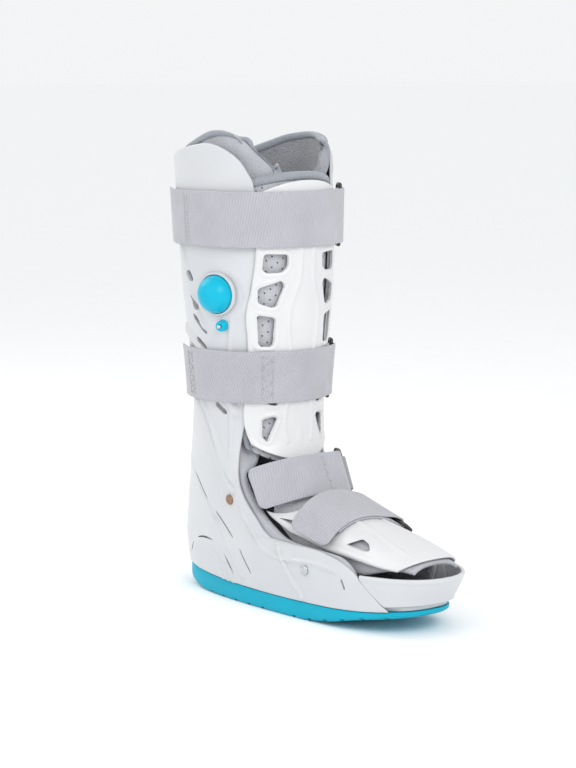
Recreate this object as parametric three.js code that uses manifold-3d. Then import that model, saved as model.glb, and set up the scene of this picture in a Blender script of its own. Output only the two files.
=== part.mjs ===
// Medical walking boot, millimetres. +X points to the toe, +Y to the side without the pump, +Z up.
// The origin lies on the floor under the middle of the boot's length.
import * as THREE from 'three';
import * as BufferGeometryUtils from 'three/addons/utils/BufferGeometryUtils.js';
import Module from 'manifold-3d';

const wasm = await Module();
wasm.setup();

// Driving sizes of the whole boot.
const bootLength = 344;
const bootHeight = 438;
const calfWidth = 138;
const footWidth = 118;

// Walls, paddings and clearances.
const seatGap = 0.3;
const shellWall = 3;
const panelWall = 2.6;
const panelLift = 0.5;
const linerGap = 0.6;
const linerWall = 7.5;
const tongueGap = 1.5;
const tongueWall = 5.5;
const wingGap = 1.5;
const flapGap = 2;
const lobeLean = 8;
const flapWall = 5;
const plateWall = 4.5;
const plateReveal = 1.2;
const plateClear = 1.3;
const guardWall = 3;
const guardSeam = 0.8;
const insoleWall = 6;
const insoleMargin = 2;

// Tread of the sole.
const treadGrooveWidth = 4;
const treadGrooveDepth = 2.2;
const treadGroovePitch = 21;
const treadGrooveCount = 7;
const treadCentreClear = 12;
const soleEdgeInset = 3;
const soleEdgeRise = 4;

// Straps and their hardware.
const strapThickness = 1.8;
const layerGap = 0.4;
const legStrapWidth = 51;
const calfStrapWidth = 48;
const ankleStrapWidth = 40;
const ringWire = 3.4;
const ringSideClear = 1.2;
const ringOpening = 9;
const keeperWidthShare = 0.8;

// Air pump.
const bulbRadius = 17.5;
const bulbHeight = 19;
const collarRadius = 20.5;
const collarHeight = 3.4;
const valveRadius = 5.4;
const valveHeight = 7;
const stemRadius = 1.9;
const stemHeight = 3;
const valveTaper = 0.86;
const domeFoot = 0.9;
const domeRise = 0.12;
const ringChamfer = 0.4;

// Rivets.
const rivetRadius = 5;
const rivetHeight = 2.2;

// Facets of the round forms.
const aroundCount = 32;
const bulbSides = 16;
const rivetSides = 10;
const foldSteps = 6;
const wireSides = 6;
const wireSteps = 4;
const domeSteps = 5;
const patchRows = 12;
const patchColumns = 12;

// Level outlines of the shell: height as a share of bootHeight, back, widest place and front as
// shares of bootLength, half width as shares of footWidth and of calfWidth, roundness back and front.
const shellLevels = [
  { height: 0.030, back: -0.498, widest: 0.175, front: 0.434, foot: 0.455, calf: 0.000, rear: 2.7, fore: 2.3 },
  { height: 0.070, back: -0.506, widest: 0.175, front: 0.455, foot: 0.475, calf: 0.000, rear: 2.7, fore: 2.3 },
  { height: 0.121, back: -0.510, widest: 0.170, front: 0.486, foot: 0.500, calf: 0.000, rear: 2.7, fore: 2.3 },
  { height: 0.175, back: -0.510, widest: 0.110, front: 0.450, foot: 0.478, calf: 0.000, rear: 2.6, fore: 2.3 },
  { height: 0.235, back: -0.497, widest: -0.070, front: 0.120, foot: 0.472, calf: 0.000, rear: 2.4, fore: 2.2 },
  { height: 0.300, back: -0.474, widest: -0.200, front: -0.070, foot: 0.240, calf: 0.202, rear: 2.3, fore: 2.2 },
  { height: 0.365, back: -0.450, widest: -0.251, front: -0.098, foot: 0.000, calf: 0.417, rear: 2.2, fore: 2.1 },
  { height: 0.430, back: -0.440, widest: -0.263, front: -0.096, foot: 0.000, calf: 0.424, rear: 2.1, fore: 2.1 },
  { height: 0.540, back: -0.449, widest: -0.266, front: -0.085, foot: 0.000, calf: 0.450, rear: 2.1, fore: 2.1 },
  { height: 0.655, back: -0.470, widest: -0.267, front: -0.073, foot: 0.000, calf: 0.483, rear: 2.1, fore: 2.1 },
  { height: 0.740, back: -0.480, widest: -0.270, front: -0.065, foot: 0.000, calf: 0.497, rear: 2.1, fore: 2.1 },
  { height: 0.870, back: -0.492, widest: -0.276, front: -0.061, foot: 0.000, calf: 0.512, rear: 2.1, fore: 2.1 },
  { height: 1.000, back: -0.506, widest: -0.282, front: -0.057, foot: 0.000, calf: 0.526, rear: 2.1, fore: 2.1 },
];

// Side outline of the rear shell, from the seam at the toe guard round to the back of the calf,
// along as a share of bootLength and height as a share of bootHeight.
const shellOutline = [
  { along: 0.442, height: -0.020 },
  { along: 0.373, height: 0.055 },
  { along: 0.317, height: 0.112 },
  { along: 0.273, height: 0.135 },
  { along: 0.224, height: 0.147 },
  { along: 0.148, height: 0.155 },
  { along: 0.032, height: 0.151 },
  { along: -0.041, height: 0.165 },
  { along: -0.090, height: 0.196 },
  { along: -0.146, height: 0.245 },
  { along: -0.160, height: 0.295 },
  { along: -0.165, height: 0.358 },
  { along: -0.157, height: 0.425 },
  { along: -0.156, height: 0.545 },
  { along: -0.152, height: 0.620 },
  { along: -0.134, height: 0.690 },
  { along: -0.122, height: 0.755 },
  { along: -0.118, height: 0.880 },
  { along: -0.128, height: 0.915 },
  { along: -0.143, height: 0.938 },
  { along: -0.169, height: 0.957 },
  { along: -0.203, height: 0.970 },
  { along: -0.239, height: 0.974 },
  { along: -0.295, height: 0.968 },
  { along: -0.364, height: 0.957 },
  { along: -0.418, height: 0.943 },
  { along: -0.462, height: 0.922 },
  { along: -0.512, height: 0.914 },
  { along: -0.600, height: 0.914 },
];

// Side outline of the padded liner in the same columns.
const linerOutline = [
  { along: 0.295, height: 0.020 },
  { along: 0.295, height: 0.128 },
  { along: 0.236, height: 0.152 },
  { along: 0.148, height: 0.156 },
  { along: 0.034, height: 0.160 },
  { along: -0.034, height: 0.180 },
  { along: -0.082, height: 0.206 },
  { along: -0.136, height: 0.255 },
  { along: -0.148, height: 0.300 },
  { along: -0.150, height: 0.350 },
  { along: -0.124, height: 0.420 },
  { along: -0.118, height: 0.860 },
  { along: -0.102, height: 0.885 },
  { along: -0.108, height: 0.906 },
  { along: -0.124, height: 0.934 },
  { along: -0.142, height: 0.957 },
  { along: -0.165, height: 0.979 },
  { along: -0.190, height: 0.993 },
  { along: -0.228, height: 1.000 },
  { along: -0.262, height: 0.996 },
  { along: -0.310, height: 0.980 },
  { along: -0.360, height: 0.964 },
  { along: -0.410, height: 0.949 },
  { along: -0.460, height: 0.936 },
  { along: -0.520, height: 0.928 },
  { along: -0.600, height: 0.928 },
];

// Sole line: top and bottom height as shares of bootHeight at places along bootLength.
const soleStations = [
  { along: -0.530, top: 0.0560, bottom: 0.0260 },
  { along: -0.470, top: 0.0510, bottom: 0.0160 },
  { along: -0.405, top: 0.0465, bottom: 0.0050 },
  { along: -0.345, top: 0.0430, bottom: 0.0000 },
  { along: -0.180, top: 0.0385, bottom: 0.0000 },
  { along: 0.000, top: 0.0370, bottom: 0.0000 },
  { along: 0.080, top: 0.0375, bottom: 0.0000 },
  { along: 0.180, top: 0.0390, bottom: 0.0070 },
  { along: 0.300, top: 0.0430, bottom: 0.0240 },
  { along: 0.400, top: 0.0490, bottom: 0.0340 },
  { along: 0.520, top: 0.0590, bottom: 0.0440 },
];

// Arches over the instep from toe to shin: foot of the arch along bootLength and bootHeight, lean
// from upright in degrees, rise as a share of bootHeight, half width of footWidth, roundness.
const instepArches = [
  { station: 0.00, along: 0.445, height: 0.112, lean: 0, rise: 0.046, half: 0.310, round: 2.2 },
  { station: 0.20, along: 0.330, height: 0.103, lean: 0, rise: 0.080, half: 0.372, round: 2.2 },
  { station: 0.46, along: 0.176, height: 0.100, lean: 0, rise: 0.110, half: 0.376, round: 2.2 },
  { station: 0.72, along: 0.010, height: 0.114, lean: 4, rise: 0.130, half: 0.380, round: 2.2 },
  { station: 0.77, along: -0.112, height: 0.171, lean: 45, rise: 0.106, half: 0.405, round: 2.2 },
  { station: 0.82, along: -0.152, height: 0.236, lean: 68, rise: 0.094, half: 0.424, round: 2.2 },
  { station: 1.00, along: -0.215, height: 0.342, lean: 84, rise: 0.104, half: 0.440, round: 2.2 },
];

// Front panel: height as a share of bootHeight, edge angle in degrees from the front.
const panelEdges = [
  { height: 0.300, edge: 30 },
  { height: 0.340, edge: 48 },
  { height: 0.400, edge: 53 },
  { height: 0.480, edge: 49 },
  { height: 0.560, edge: 48 },
  { height: 0.610, edge: 49 },
  { height: 0.680, edge: 44 },
  { height: 0.750, edge: 41 },
  { height: 0.900, edge: 39 },
];

// Vents of the front panel on one side: corners as shares of calfWidth from the middle line and
// of bootHeight. The other side mirrors them.
const panelVents = [
  [[-0.145, 0.744], [-0.305, 0.746], [-0.312, 0.712], [-0.285, 0.705], [-0.185, 0.706], [-0.147, 0.718]],
  [[-0.190, 0.690], [-0.330, 0.674], [-0.326, 0.642], [-0.240, 0.632], [-0.210, 0.635], [-0.160, 0.680]],
  [[-0.325, 0.614], [-0.312, 0.617], [-0.228, 0.612], [-0.210, 0.607], [-0.214, 0.555], [-0.230, 0.550],
    [-0.292, 0.550], [-0.308, 0.557]],
  [[-0.160, 0.455], [-0.245, 0.452], [-0.245, 0.428], [-0.170, 0.422]],
  [[-0.185, 0.400], [-0.262, 0.395], [-0.262, 0.356], [-0.244, 0.349], [-0.228, 0.349], [-0.165, 0.395]],
];

// Slots through the side walls of the shell: two ends as shares of bootLength and bootHeight.
const shellSlots = [
  { fromAlong: -0.325, fromHeight: 0.704, toAlong: -0.305, toHeight: 0.682 },
  { fromAlong: -0.322, fromHeight: 0.656, toAlong: -0.281, toHeight: 0.622 },
  { fromAlong: -0.315, fromHeight: 0.612, toAlong: -0.255, toHeight: 0.572 },
  { fromAlong: -0.305, fromHeight: 0.562, toAlong: -0.262, toHeight: 0.540 },
  { fromAlong: -0.240, fromHeight: 0.426, toAlong: -0.203, toHeight: 0.404 },
];
const slotWidth = 4.6;

// Degrees by which the padded flap widens behind the toes and narrows again at the ankle.
const flapWiden = 24;
const flapNarrow = 22;

// Vents through the sides of the instep panel: corners as shares of bootLength and bootHeight.
const instepVents = [
  [[-0.035, 0.196], [0.065, 0.192], [0.030, 0.180]],
  [[0.212, 0.166], [0.252, 0.180], [0.282, 0.173], [0.299, 0.162], [0.282, 0.159]],
];

// Straps on the leg: middle height as a share of bootHeight, angles in degrees round the leg,
// negative on the pump side.
const legStraps = [
  { name: 'top', height: 0.8170, width: legStrapWidth, anchor: -118, tail: -146, ring: 52, keeperEnd: 128 },
  { name: 'calf', height: 0.4850, width: calfStrapWidth, anchor: -112, tail: -138, ring: 54, keeperEnd: 128 },
];

// Straps on the instep: station of the middle, height over the panel, turn along the foot for each
// radian across, angles in degrees across the arch.
const instepStraps = [
  { name: 'ankle', station: 0.82, width: ankleStrapWidth, lift: 7.5, slant: 0, anchor: -44, tail: -66,
    ring: 32, keeperEnd: 62 },
  { name: 'forefoot', station: 0.55, width: legStrapWidth, lift: 2.6, slant: -0.05, anchor: -42, tail: -64,
    ring: 36, keeperEnd: 64 },
];

// Degrees by which the keepers' upper layers stop short of their sewn ends.
const legKeeperFold = 30;
const footKeeperFold = 8;

const strapClearOnPanel = panelLift + panelWall + layerGap;
const strapClearOnShell = 1.2;
const stationStep = 0.03;

// Rows across the foot plates, as shares of their length.
const plateStations = [
  0, 0.006, 0.022, 0.055, 0.105, 0.165, 0.225, 0.290, 0.355, 0.420, 0.480, 0.535, 0.615, 0.690,
  0.765, 0.835, 0.895, 0.945, 0.980, 1,
];

// Places of the pump and the rivets as shares of bootLength and bootHeight.
const bulbPlace = { along: -0.208, height: 0.660 };
const valvePlace = { along: -0.196, height: 0.594 };
const ankleRivet = { along: -0.194, height: 0.221 };
const toeRivet = { along: 0.126, height: 0.110 };

const materials = {
  shell: new THREE.MeshStandardMaterial({ color: 0xf1f3f6, roughness: 0.38, metalness: 0 }),
  panel: new THREE.MeshStandardMaterial({ color: 0xf8f9fa, roughness: 0.35, metalness: 0 }),
  sole: new THREE.MeshStandardMaterial({ color: 0x14a9cd, roughness: 0.55, metalness: 0 }),
  pump: new THREE.MeshStandardMaterial({ color: 0x16b5dc, roughness: 0.32, metalness: 0 }),
  liner: new THREE.MeshStandardMaterial({ color: 0xa9adb3, roughness: 0.95, metalness: 0 }),
  insole: new THREE.MeshStandardMaterial({ color: 0x7f848b, roughness: 0.95, metalness: 0 }),
  strap: new THREE.MeshStandardMaterial({ color: 0xb9bac3, roughness: 0.85, metalness: 0 }),
  ring: new THREE.MeshStandardMaterial({ color: 0x4a4644, roughness: 0.4, metalness: 0.4 }),
  rivet: new THREE.MeshStandardMaterial({ color: 0x8c6f5a, roughness: 0.35, metalness: 0.9 }),
  steel: new THREE.MeshStandardMaterial({ color: 0xc4c7ca, roughness: 0.25, metalness: 1 }),
};

const degrees = Math.PI / 180;
const sharp = (value, power) => Math.sign(value) * Math.abs(value) ** power;
const easeStep = (low, high, value) => {
  const share = Math.min(1, Math.max(0, (value - low) / (high - low)));
  return share * share * (3 - 2 * share);
};

// Smooth value of a table column, without overshoot between rows.
function tableValue(rows, key, place, column) {
  const last = rows.length - 1;
  if (place <= rows[0][key]) return rows[0][column];
  if (place >= rows[last][key]) return rows[last][column];
  const index = rows.findIndex((row, i) => i < last && place <= rows[i + 1][key]);
  const slope = (i) => (rows[i + 1][column] - rows[i][column]) / (rows[i + 1][key] - rows[i][key]);
  const tangent = (i) => {
    if (i === 0) return slope(0);
    if (i === last) return slope(last - 1);
    const before = slope(i - 1);
    const after = slope(i);
    return before * after <= 0 ? 0 : (2 * before * after) / (before + after);
  };
  const span = rows[index + 1][key] - rows[index][key];
  const t = (place - rows[index][key]) / span;
  const start = rows[index][column] * (1 + 2 * t) * (1 - t) ** 2;
  const end = rows[index + 1][column] * t * t * (3 - 2 * t);
  const startTurn = tangent(index) * span * t * (1 - t) ** 2;
  const endTurn = tangent(index + 1) * span * t * t * (t - 1);
  return start + end + startTurn + endTurn;
}

// Point of the shell's outer outline at a height, at an angle from the front, moved inwards.
function legPoint(angle, height, inset) {
  const level = (column) => tableValue(shellLevels, 'height', height / bootHeight, column);
  const widest = level('widest') * bootLength;
  const fore = Math.cos(angle) >= 0;
  const reach = fore ? level('front') * bootLength - widest : widest - level('back') * bootLength;
  const power = 2 / (fore ? level('fore') : level('rear'));
  const half = level('foot') * footWidth + level('calf') * calfWidth;
  return new THREE.Vector3(
    widest + (reach - inset) * sharp(Math.cos(angle), power),
    (half - inset) * sharp(Math.sin(angle), power),
    height,
  );
}

const soleTop = (x) => bootHeight * tableValue(soleStations, 'along', x / bootLength, 'top');
const soleBottom = (x) => bootHeight * tableValue(soleStations, 'along', x / bootLength, 'bottom');

// Point of an instep arch: angle across the arch from its crown, moved outwards.
function instepPoint(station, angle, outset) {
  const arch = (column) => tableValue(instepArches, 'station', station, column);
  const lean = arch('lean') * degrees;
  const power = 2 / arch('round');
  const up = (arch('rise') * bootHeight + outset) * sharp(Math.cos(angle), power);
  return new THREE.Vector3(
    arch('along') * bootLength + up * Math.sin(lean),
    (arch('half') * footWidth + outset) * sharp(Math.sin(angle), power),
    arch('height') * bootHeight + up * Math.cos(lean),
  );
}

// Closed mesh from rows of points on an outer and an inner face; a ring closes on itself.
function wallGeometry(outer, inner, isRing) {
  const rows = outer.length;
  const columns = outer[0].length;
  const points = [...outer.flat(), ...inner.flat()];
  const indices = [];
  const outerAt = (row, column) => row * columns + (column % columns);
  const innerAt = (row, column) => rows * columns + outerAt(row, column);
  const quad = (a, b, c, d) => indices.push(a, b, c, a, c, d);
  const spans = isRing ? columns : columns - 1;
  for (let row = 0; row < rows - 1; row += 1) {
    for (let column = 0; column < spans; column += 1) {
      const next = column + 1;
      quad(outerAt(row, column), outerAt(row, next), outerAt(row + 1, next), outerAt(row + 1, column));
      quad(innerAt(row, column), innerAt(row + 1, column), innerAt(row + 1, next), innerAt(row, next));
    }
    if (!isRing) {
      const end = columns - 1;
      quad(outerAt(row, end), innerAt(row, end), innerAt(row + 1, end), outerAt(row + 1, end));
      quad(outerAt(row, 0), outerAt(row + 1, 0), innerAt(row + 1, 0), innerAt(row, 0));
    }
  }
  for (let column = 0; column < spans; column += 1) {
    const next = column + 1;
    const top = rows - 1;
    quad(outerAt(0, column), innerAt(0, column), innerAt(0, next), outerAt(0, next));
    quad(outerAt(top, column), outerAt(top, next), innerAt(top, next), innerAt(top, column));
  }
  return orientedGeometry(points, indices);
}

// Geometry whose faces point out, whichever way its rows run.
function orientedGeometry(points, indices) {
  let volume = 0;
  for (let i = 0; i < indices.length; i += 3) {
    const [a, b, c] = [points[indices[i]], points[indices[i + 1]], points[indices[i + 2]]];
    volume += a.dot(new THREE.Vector3().crossVectors(b, c));
  }
  if (volume < 0) indices.reverse();
  const geometry = new THREE.BufferGeometry().setFromPoints(points);
  geometry.setIndex(indices);
  return geometry;
}

// Loop of sections, each a ring of points, closed into a torus or capped at both ends.
function sweepGeometry(sections, isLoop) {
  const sides = sections[0].length;
  const points = sections.flat();
  const indices = [];
  const spans = isLoop ? sections.length : sections.length - 1;
  for (let i = 0; i < spans; i += 1) {
    const here = i * sides;
    const there = ((i + 1) % sections.length) * sides;
    for (let j = 0; j < sides; j += 1) {
      const next = (j + 1) % sides;
      indices.push(here + j, here + next, there + next, here + j, there + next, there + j);
    }
  }
  if (!isLoop) {
    const end = (sections.length - 1) * sides;
    for (let j = 1; j < sides - 1; j += 1) {
      indices.push(0, j + 1, j, end, end + j, end + j + 1);
    }
  }
  return orientedGeometry(points, indices);
}

function toSolid(geometry) {
  const bare = geometry.clone();
  bare.deleteAttribute('normal');
  bare.deleteAttribute('uv');
  const merged = BufferGeometryUtils.mergeVertices(bare, 1e-4);
  const vertProperties = new Float32Array(merged.attributes.position.array);
  const triVerts = new Uint32Array(merged.index.array);
  return new wasm.Manifold(new wasm.Mesh({ numProp: 3, vertProperties, triVerts }));
}

function toGeometry(solid) {
  const mesh = solid.getMesh();
  const geometry = new THREE.BufferGeometry();
  geometry.setAttribute('position', new THREE.BufferAttribute(mesh.vertProperties, 3));
  geometry.setIndex(new THREE.BufferAttribute(mesh.triVerts, 1));
  return geometry;
}

const cutAll = (geometry, cutters) => toGeometry(
  cutters.reduce((solid, cutter) => solid.subtract(toSolid(cutter)), toSolid(geometry)),
);
const keepInside = (geometry, keeper) => toGeometry(toSolid(geometry).intersect(toSolid(keeper)));

// Prism through the boot from side to side, its outline given along and up.
function sidePrism(corners, fromY, toY) {
  const shape = new THREE.Shape(corners.map(([x, z]) => new THREE.Vector2(x, z)));
  const prism = new THREE.ExtrudeGeometry(shape, { depth: toY - fromY, bevelEnabled: false });
  prism.rotateX(Math.PI / 2);
  return prism.translate(0, toY, 0);
}

// Prism that runs forwards, its outline given across and up.
function frontPrism(corners, fromX, toX) {
  const shape = new THREE.Shape(corners.map(([y, z]) => new THREE.Vector2(y, z)));
  const prism = new THREE.ExtrudeGeometry(shape, { depth: toX - fromX, bevelEnabled: false });
  const turn = new THREE.Matrix4().makeBasis(
    new THREE.Vector3(0, 1, 0),
    new THREE.Vector3(0, 0, 1),
    new THREE.Vector3(1, 0, 0),
  );
  return prism.applyMatrix4(turn).translate(fromX, 0, 0);
}

const outlineCorners = (outline) => [
  ...outline.map((row) => [row.along * bootLength, row.height * bootHeight]),
  [outline[outline.length - 1].along * bootLength, outline[0].height * bootHeight],
];

// Heights of the level rings that the rear shell and its liner are lofted through.
const ringHeights = [
  0.074, 0.112, 0.146, 0.175, 0.205, 0.240, 0.275, 0.312, 0.355, 0.430, 0.540,
  0.655, 0.760, 0.870, 0.940, 1.000,
].map((share) => share * bootHeight);
const aroundAngles = Array.from({ length: aroundCount }, (_, i) => (i / aroundCount) * 2 * Math.PI);

// One level ring, with the lowest ring set on the sole line.
const levelRing = (height, inset) => aroundAngles.map((angle) => legPoint(angle, height, inset(angle)));
const footRing = (inset, lift) => aroundAngles.map((angle) => {
  const point = legPoint(angle, shellLevels[0].height * bootHeight, inset(angle));
  point.z = soleTop(point.x) + lift;
  return point;
});

function rearShell() {
  const faces = [0, shellWall].map((depth) => [
    footRing(() => depth, seatGap),
    ...ringHeights.map((height) => levelRing(height, () => depth)),
  ]);
  const wall = wallGeometry(faces[0], faces[1], true);
  const shell = keepInside(wall, sidePrism(outlineCorners(shellOutline), -calfWidth, calfWidth));
  const slots = shellSlots.flatMap((slot) => [-1, 1].map((side) => slotPrism(slot, side)));
  return cutAll(shell, slots);
}

// Slanted slot with pointed ends through one side wall.
function slotPrism(slot, side) {
  const from = new THREE.Vector2(slot.fromAlong * bootLength, slot.fromHeight * bootHeight);
  const to = new THREE.Vector2(slot.toAlong * bootLength, slot.toHeight * bootHeight);
  const run = to.clone().sub(from);
  const across = new THREE.Vector2(-run.y, run.x).setLength(slotWidth / 2);
  const at = (share, offset) => {
    const point = from.clone().addScaledVector(run, share).addScaledVector(across, offset);
    return [point.x, point.y];
  };
  const corners = [at(0, 0), at(0.15, -1), at(0.85, -1), at(1, 0), at(0.85, 1), at(0.15, 1)];
  const [near, far] = [0.2 * calfWidth, 0.8 * calfWidth];
  return side < 0 ? sidePrism(corners, -far, -near) : sidePrism(corners, near, far);
}

// Inset of the liner: against the shell at the back, tucked behind the tongue at the front.
const wingInset = tongueGap - linerGap + tongueWall + wingGap;
const linerInset = (angle) => {
  const fromFront = Math.abs(Math.atan2(Math.sin(angle), Math.cos(angle))) / degrees;
  return shellWall + linerGap + wingInset * (1 - easeStep(62, 78, fromFront));
};

function calfLiner() {
  const legInset = (angle, height) => {
    const share = height / bootHeight;
    const upper = easeStep(0.20, 0.30, share);
    const lean = lobeLean * easeStep(0.88, 1, share);
    return (shellWall + linerGap) * (1 - upper) + linerInset(angle) * upper + lean;
  };
  const plateTop = plateWall + 2 * seatGap;
  const faces = [0, linerWall].map((depth) => [
    footRing((angle) => legInset(angle, 0) + depth, plateTop),
    ...ringHeights.map((height) => levelRing(height, (angle) => legInset(angle, height) + depth)),
  ]);
  const wall = wallGeometry(faces[0], faces[1], true);
  return keepInside(wall, sidePrism(outlineCorners(linerOutline), -calfWidth, calfWidth));
}

// Patch of wall on the leg between two edges, from a lower to an upper height.
function legPatch(rows, columns, edgeAt, lowAt, highAt, outset, wall) {
  const face = (depth) => Array.from({ length: rows + 1 }, (_, row) => (
    Array.from({ length: columns + 1 }, (__, column) => {
      const side = (2 * column) / columns - 1;
      const up = row / rows;
      const height = lowAt(side) + (highAt(side) - lowAt(side)) * up;
      return legPoint(side * edgeAt(height) * degrees, height, depth - outset);
    })
  ));
  return wallGeometry(face(0), face(wall), false);
}

// Tongue-shaped ends of the pieces over the shin and the instep: the middle reaches further
// than the sides, low and high as shares of bootHeight, toe and shin as stations.
const panelEnds = { low: 0.308, lowSides: 0.035, high: 0.898, highSides: -0.028 };
const tongueEnds = { low: 0.300, lowSides: 0.030, high: 0.914, highSides: -0.028, edge: 58 };
const instepEnds = { toe: 0.000, toeSides: 0.070, shin: 0.700, shinSides: 0.076, edge: 67 };
const flapEnds = { toe: 0.010, shin: 0.860, shinSides: -0.100, edge: 60 };

const panelEdgeAt = (height) => tableValue(panelEdges, 'height', height / bootHeight, 'edge');

const panelLow = (side) => bootHeight * (panelEnds.low + panelEnds.lowSides * Math.abs(side) ** 3);
const panelHigh = (side) => bootHeight * (panelEnds.high + panelEnds.highSides * side * side);

function frontPanel() {
  const outset = panelLift + panelWall;
  const panel = legPatch(patchRows, patchColumns, panelEdgeAt, panelLow, panelHigh, outset, panelWall);
  const cutters = panelVents.flatMap((vent) => [1, -1].map((side) => {
    const corners = vent.map(([across, up]) => [across * calfWidth * side, up * bootHeight]);
    const middle = corners.reduce((sum, [y]) => sum + y, 0) / corners.length;
    const reach = Math.abs(middle) / (0.5 * calfWidth);
    const centre = tableValue(shellLevels, 'height', corners[0][1] / bootHeight, 'widest') * bootLength;
    const start = centre + 0.35 * calfWidth * Math.sqrt(1 - reach * reach) * 0.5;
    return frontPrism(corners, start, 0.5 * bootLength);
  }));
  return cutAll(panel, cutters);
}

function tongueLiner() {
  const low = (side) => bootHeight * (tongueEnds.low + tongueEnds.lowSides * side * side);
  const high = (side) => bootHeight * (tongueEnds.high + tongueEnds.highSides * side * side);
  const inset = shellWall + tongueGap;
  return legPatch(patchRows - 2, patchColumns, () => tongueEnds.edge, low, high, -inset, tongueWall);
}

// Patch of wall over the instep between two stations.
function instepPatch(rows, columns, from, to, edgeAt, outset, wall) {
  const face = (depth) => Array.from({ length: rows + 1 }, (_, row) => (
    Array.from({ length: columns + 1 }, (__, column) => {
      const side = (2 * column) / columns - 1;
      const station = from(side) + (to(side) - from(side)) * (row / rows);
      return instepPoint(station, side * edgeAt(station) * degrees, outset - depth);
    })
  ));
  return wallGeometry(face(0), face(wall), false);
}

function instepPanel() {
  const toe = (side) => instepEnds.toe + instepEnds.toeSides * side * side;
  const shin = (side) => instepEnds.shin + instepEnds.shinSides * side * side;
  const edgeAt = () => instepEnds.edge;
  const panel = instepPatch(patchRows, patchColumns, toe, shin, edgeAt, 0, panelWall);
  const cutters = instepVents.map((vent) => sidePrism(
    vent.map(([along, height]) => [along * bootLength, height * bootHeight]),
    -footWidth,
    footWidth,
  ));
  return cutAll(panel, cutters);
}

function footLiner() {
  const toe = () => flapEnds.toe;
  const shin = (side) => flapEnds.shin + flapEnds.shinSides * side * side;
  const edgeAt = (station) => {
    const widening = flapWiden * easeStep(0.05, 0.30, station);
    return flapEnds.edge + widening - flapNarrow * easeStep(0.66, 0.80, station);
  };
  return instepPatch(patchRows, patchColumns, toe, shin, edgeAt, -(panelWall + flapGap), flapWall);
}

// Half width of the foot outline at a place along the boot.
function footHalf(x, inset) {
  const level = shellLevels[0];
  const widest = level.widest * bootLength;
  const fore = x >= widest;
  const reach = (fore ? level.front * bootLength - widest : widest - level.back * bootLength) - inset;
  const round = fore ? level.fore : level.rear;
  const share = Math.min(1, Math.abs(x - widest) / reach);
  return (level.foot * footWidth - inset) * (1 - share ** round) ** (1 / round);
}

// Level plate on the foot outline, built from rows across; top and bottom follow the length.
function plateGeometry(insetAt, topAt, bottomAt, edge) {
  const level = shellLevels[0];
  const back = level.back * bootLength;
  const front = level.front * bootLength;
  const rows = plateStations.map((share) => {
    const rough = back + (front - back) * share;
    const inset = insetAt(rough);
    const x = back + inset + (front - back - 2 * inset) * share;
    return { x, half: footHalf(x, inset) };
  });
  const sideOf = (side) => rows.map(({ x, half }) => new THREE.Vector3(x, side * half, 0));
  const outline = [...sideOf(-1), ...sideOf(1).slice(1, -1).reverse()];
  const middle = (back + front) / 2;
  const ringAt = (inset, heightAt) => outline.map((p) => {
    const x = middle + (p.x - middle) * (1 - (2 * inset) / (front - back));
    const y = p.y * (1 - (2 * inset) / footWidth);
    return new THREE.Vector3(x, y, heightAt(x));
  });
  const rings = [ringAt(0, (x) => bottomAt(x) + edge.rise), ringAt(0, topAt)];
  if (edge.inset > 0) rings.unshift(ringAt(edge.inset, bottomAt));
  const count = outline.length;
  const at = (ring, i) => ring * count + (i % count);
  const indices = [];
  for (let ring = 0; ring < rings.length - 1; ring += 1) {
    for (let i = 0; i < count; i += 1) {
      indices.push(at(ring, i), at(ring, i + 1), at(ring + 1, i + 1));
      indices.push(at(ring, i), at(ring + 1, i + 1), at(ring + 1, i));
    }
  }
  const top = rings.length - 1;
  for (let i = 0; i < rows.length - 1; i += 1) {
    const [a, b, c, d] = [i, i + 1, count - i - 1, count - i];
    if (i < rows.length - 2) indices.push(at(top, a), at(top, b), at(top, c), at(0, a), at(0, c), at(0, b));
    if (i > 0) indices.push(at(top, a), at(top, c), at(top, d), at(0, a), at(0, d), at(0, c));
  }
  return orientedGeometry(rings.flat(), indices);
}

function outsole() {
  const edge = { inset: soleEdgeInset, rise: soleEdgeRise };
  const sole = plateGeometry(() => 0, soleTop, soleBottom, edge);
  const grooves = [];
  for (let i = 1; i <= treadGrooveCount; i += 1) {
    [-1, 1].forEach((side) => {
      const middle = side * (treadCentreClear + (i - 0.5) * treadGroovePitch);
      const bottom = soleBottom(middle);
      const groove = new THREE.BoxGeometry(treadGrooveWidth, footWidth * 1.2, 2 * treadGrooveDepth);
      grooves.push(groove.translate(middle, 0, bottom));
    });
  }
  return cutAll(sole, grooves);
}

function footPlate() {
  const seam = 0.385 * bootLength;
  const insetAt = (x) => {
    const hidden = shellWall + plateClear;
    return hidden + (plateReveal - hidden) * easeStep(seam, seam + 9, x);
  };
  const bottom = (x) => soleTop(x) + seatGap;
  return plateGeometry(insetAt, (x) => bottom(x) + plateWall, bottom, { inset: 0, rise: 0 });
}

function insole() {
  const insetAt = () => shellWall + linerGap + linerWall + insoleMargin;
  const bottom = (x) => soleTop(x) + plateWall + 2 * seatGap;
  return plateGeometry(insetAt, (x) => bottom(x) + insoleWall, bottom, { inset: 0, rise: 0 });
}

function toeGuard() {
  const heights = [0.070, 0.090, 0.108, 0.121].map((share) => share * bootHeight);
  const lift = plateWall + 2 * seatGap;
  const faces = [0, guardWall].map((depth) => [
    footRing(() => depth, lift),
    ...heights.map((height) => levelRing(height, () => depth)),
  ]);
  const wall = wallGeometry(faces[0], faces[1], true);
  const seam = shellOutline.slice(0, 3).map((row) => (
    [row.along * bootLength + guardSeam, row.height * bootHeight]
  ));
  const keep = [
    ...seam,
    [seam[2][0] + 2, 0.130 * bootHeight],
    [0.6 * bootLength, 0.130 * bootHeight],
    [0.6 * bootLength, seam[0][1]],
  ];
  return keepInside(wall, sidePrism(keep, -calfWidth, calfWidth));
}

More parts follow.
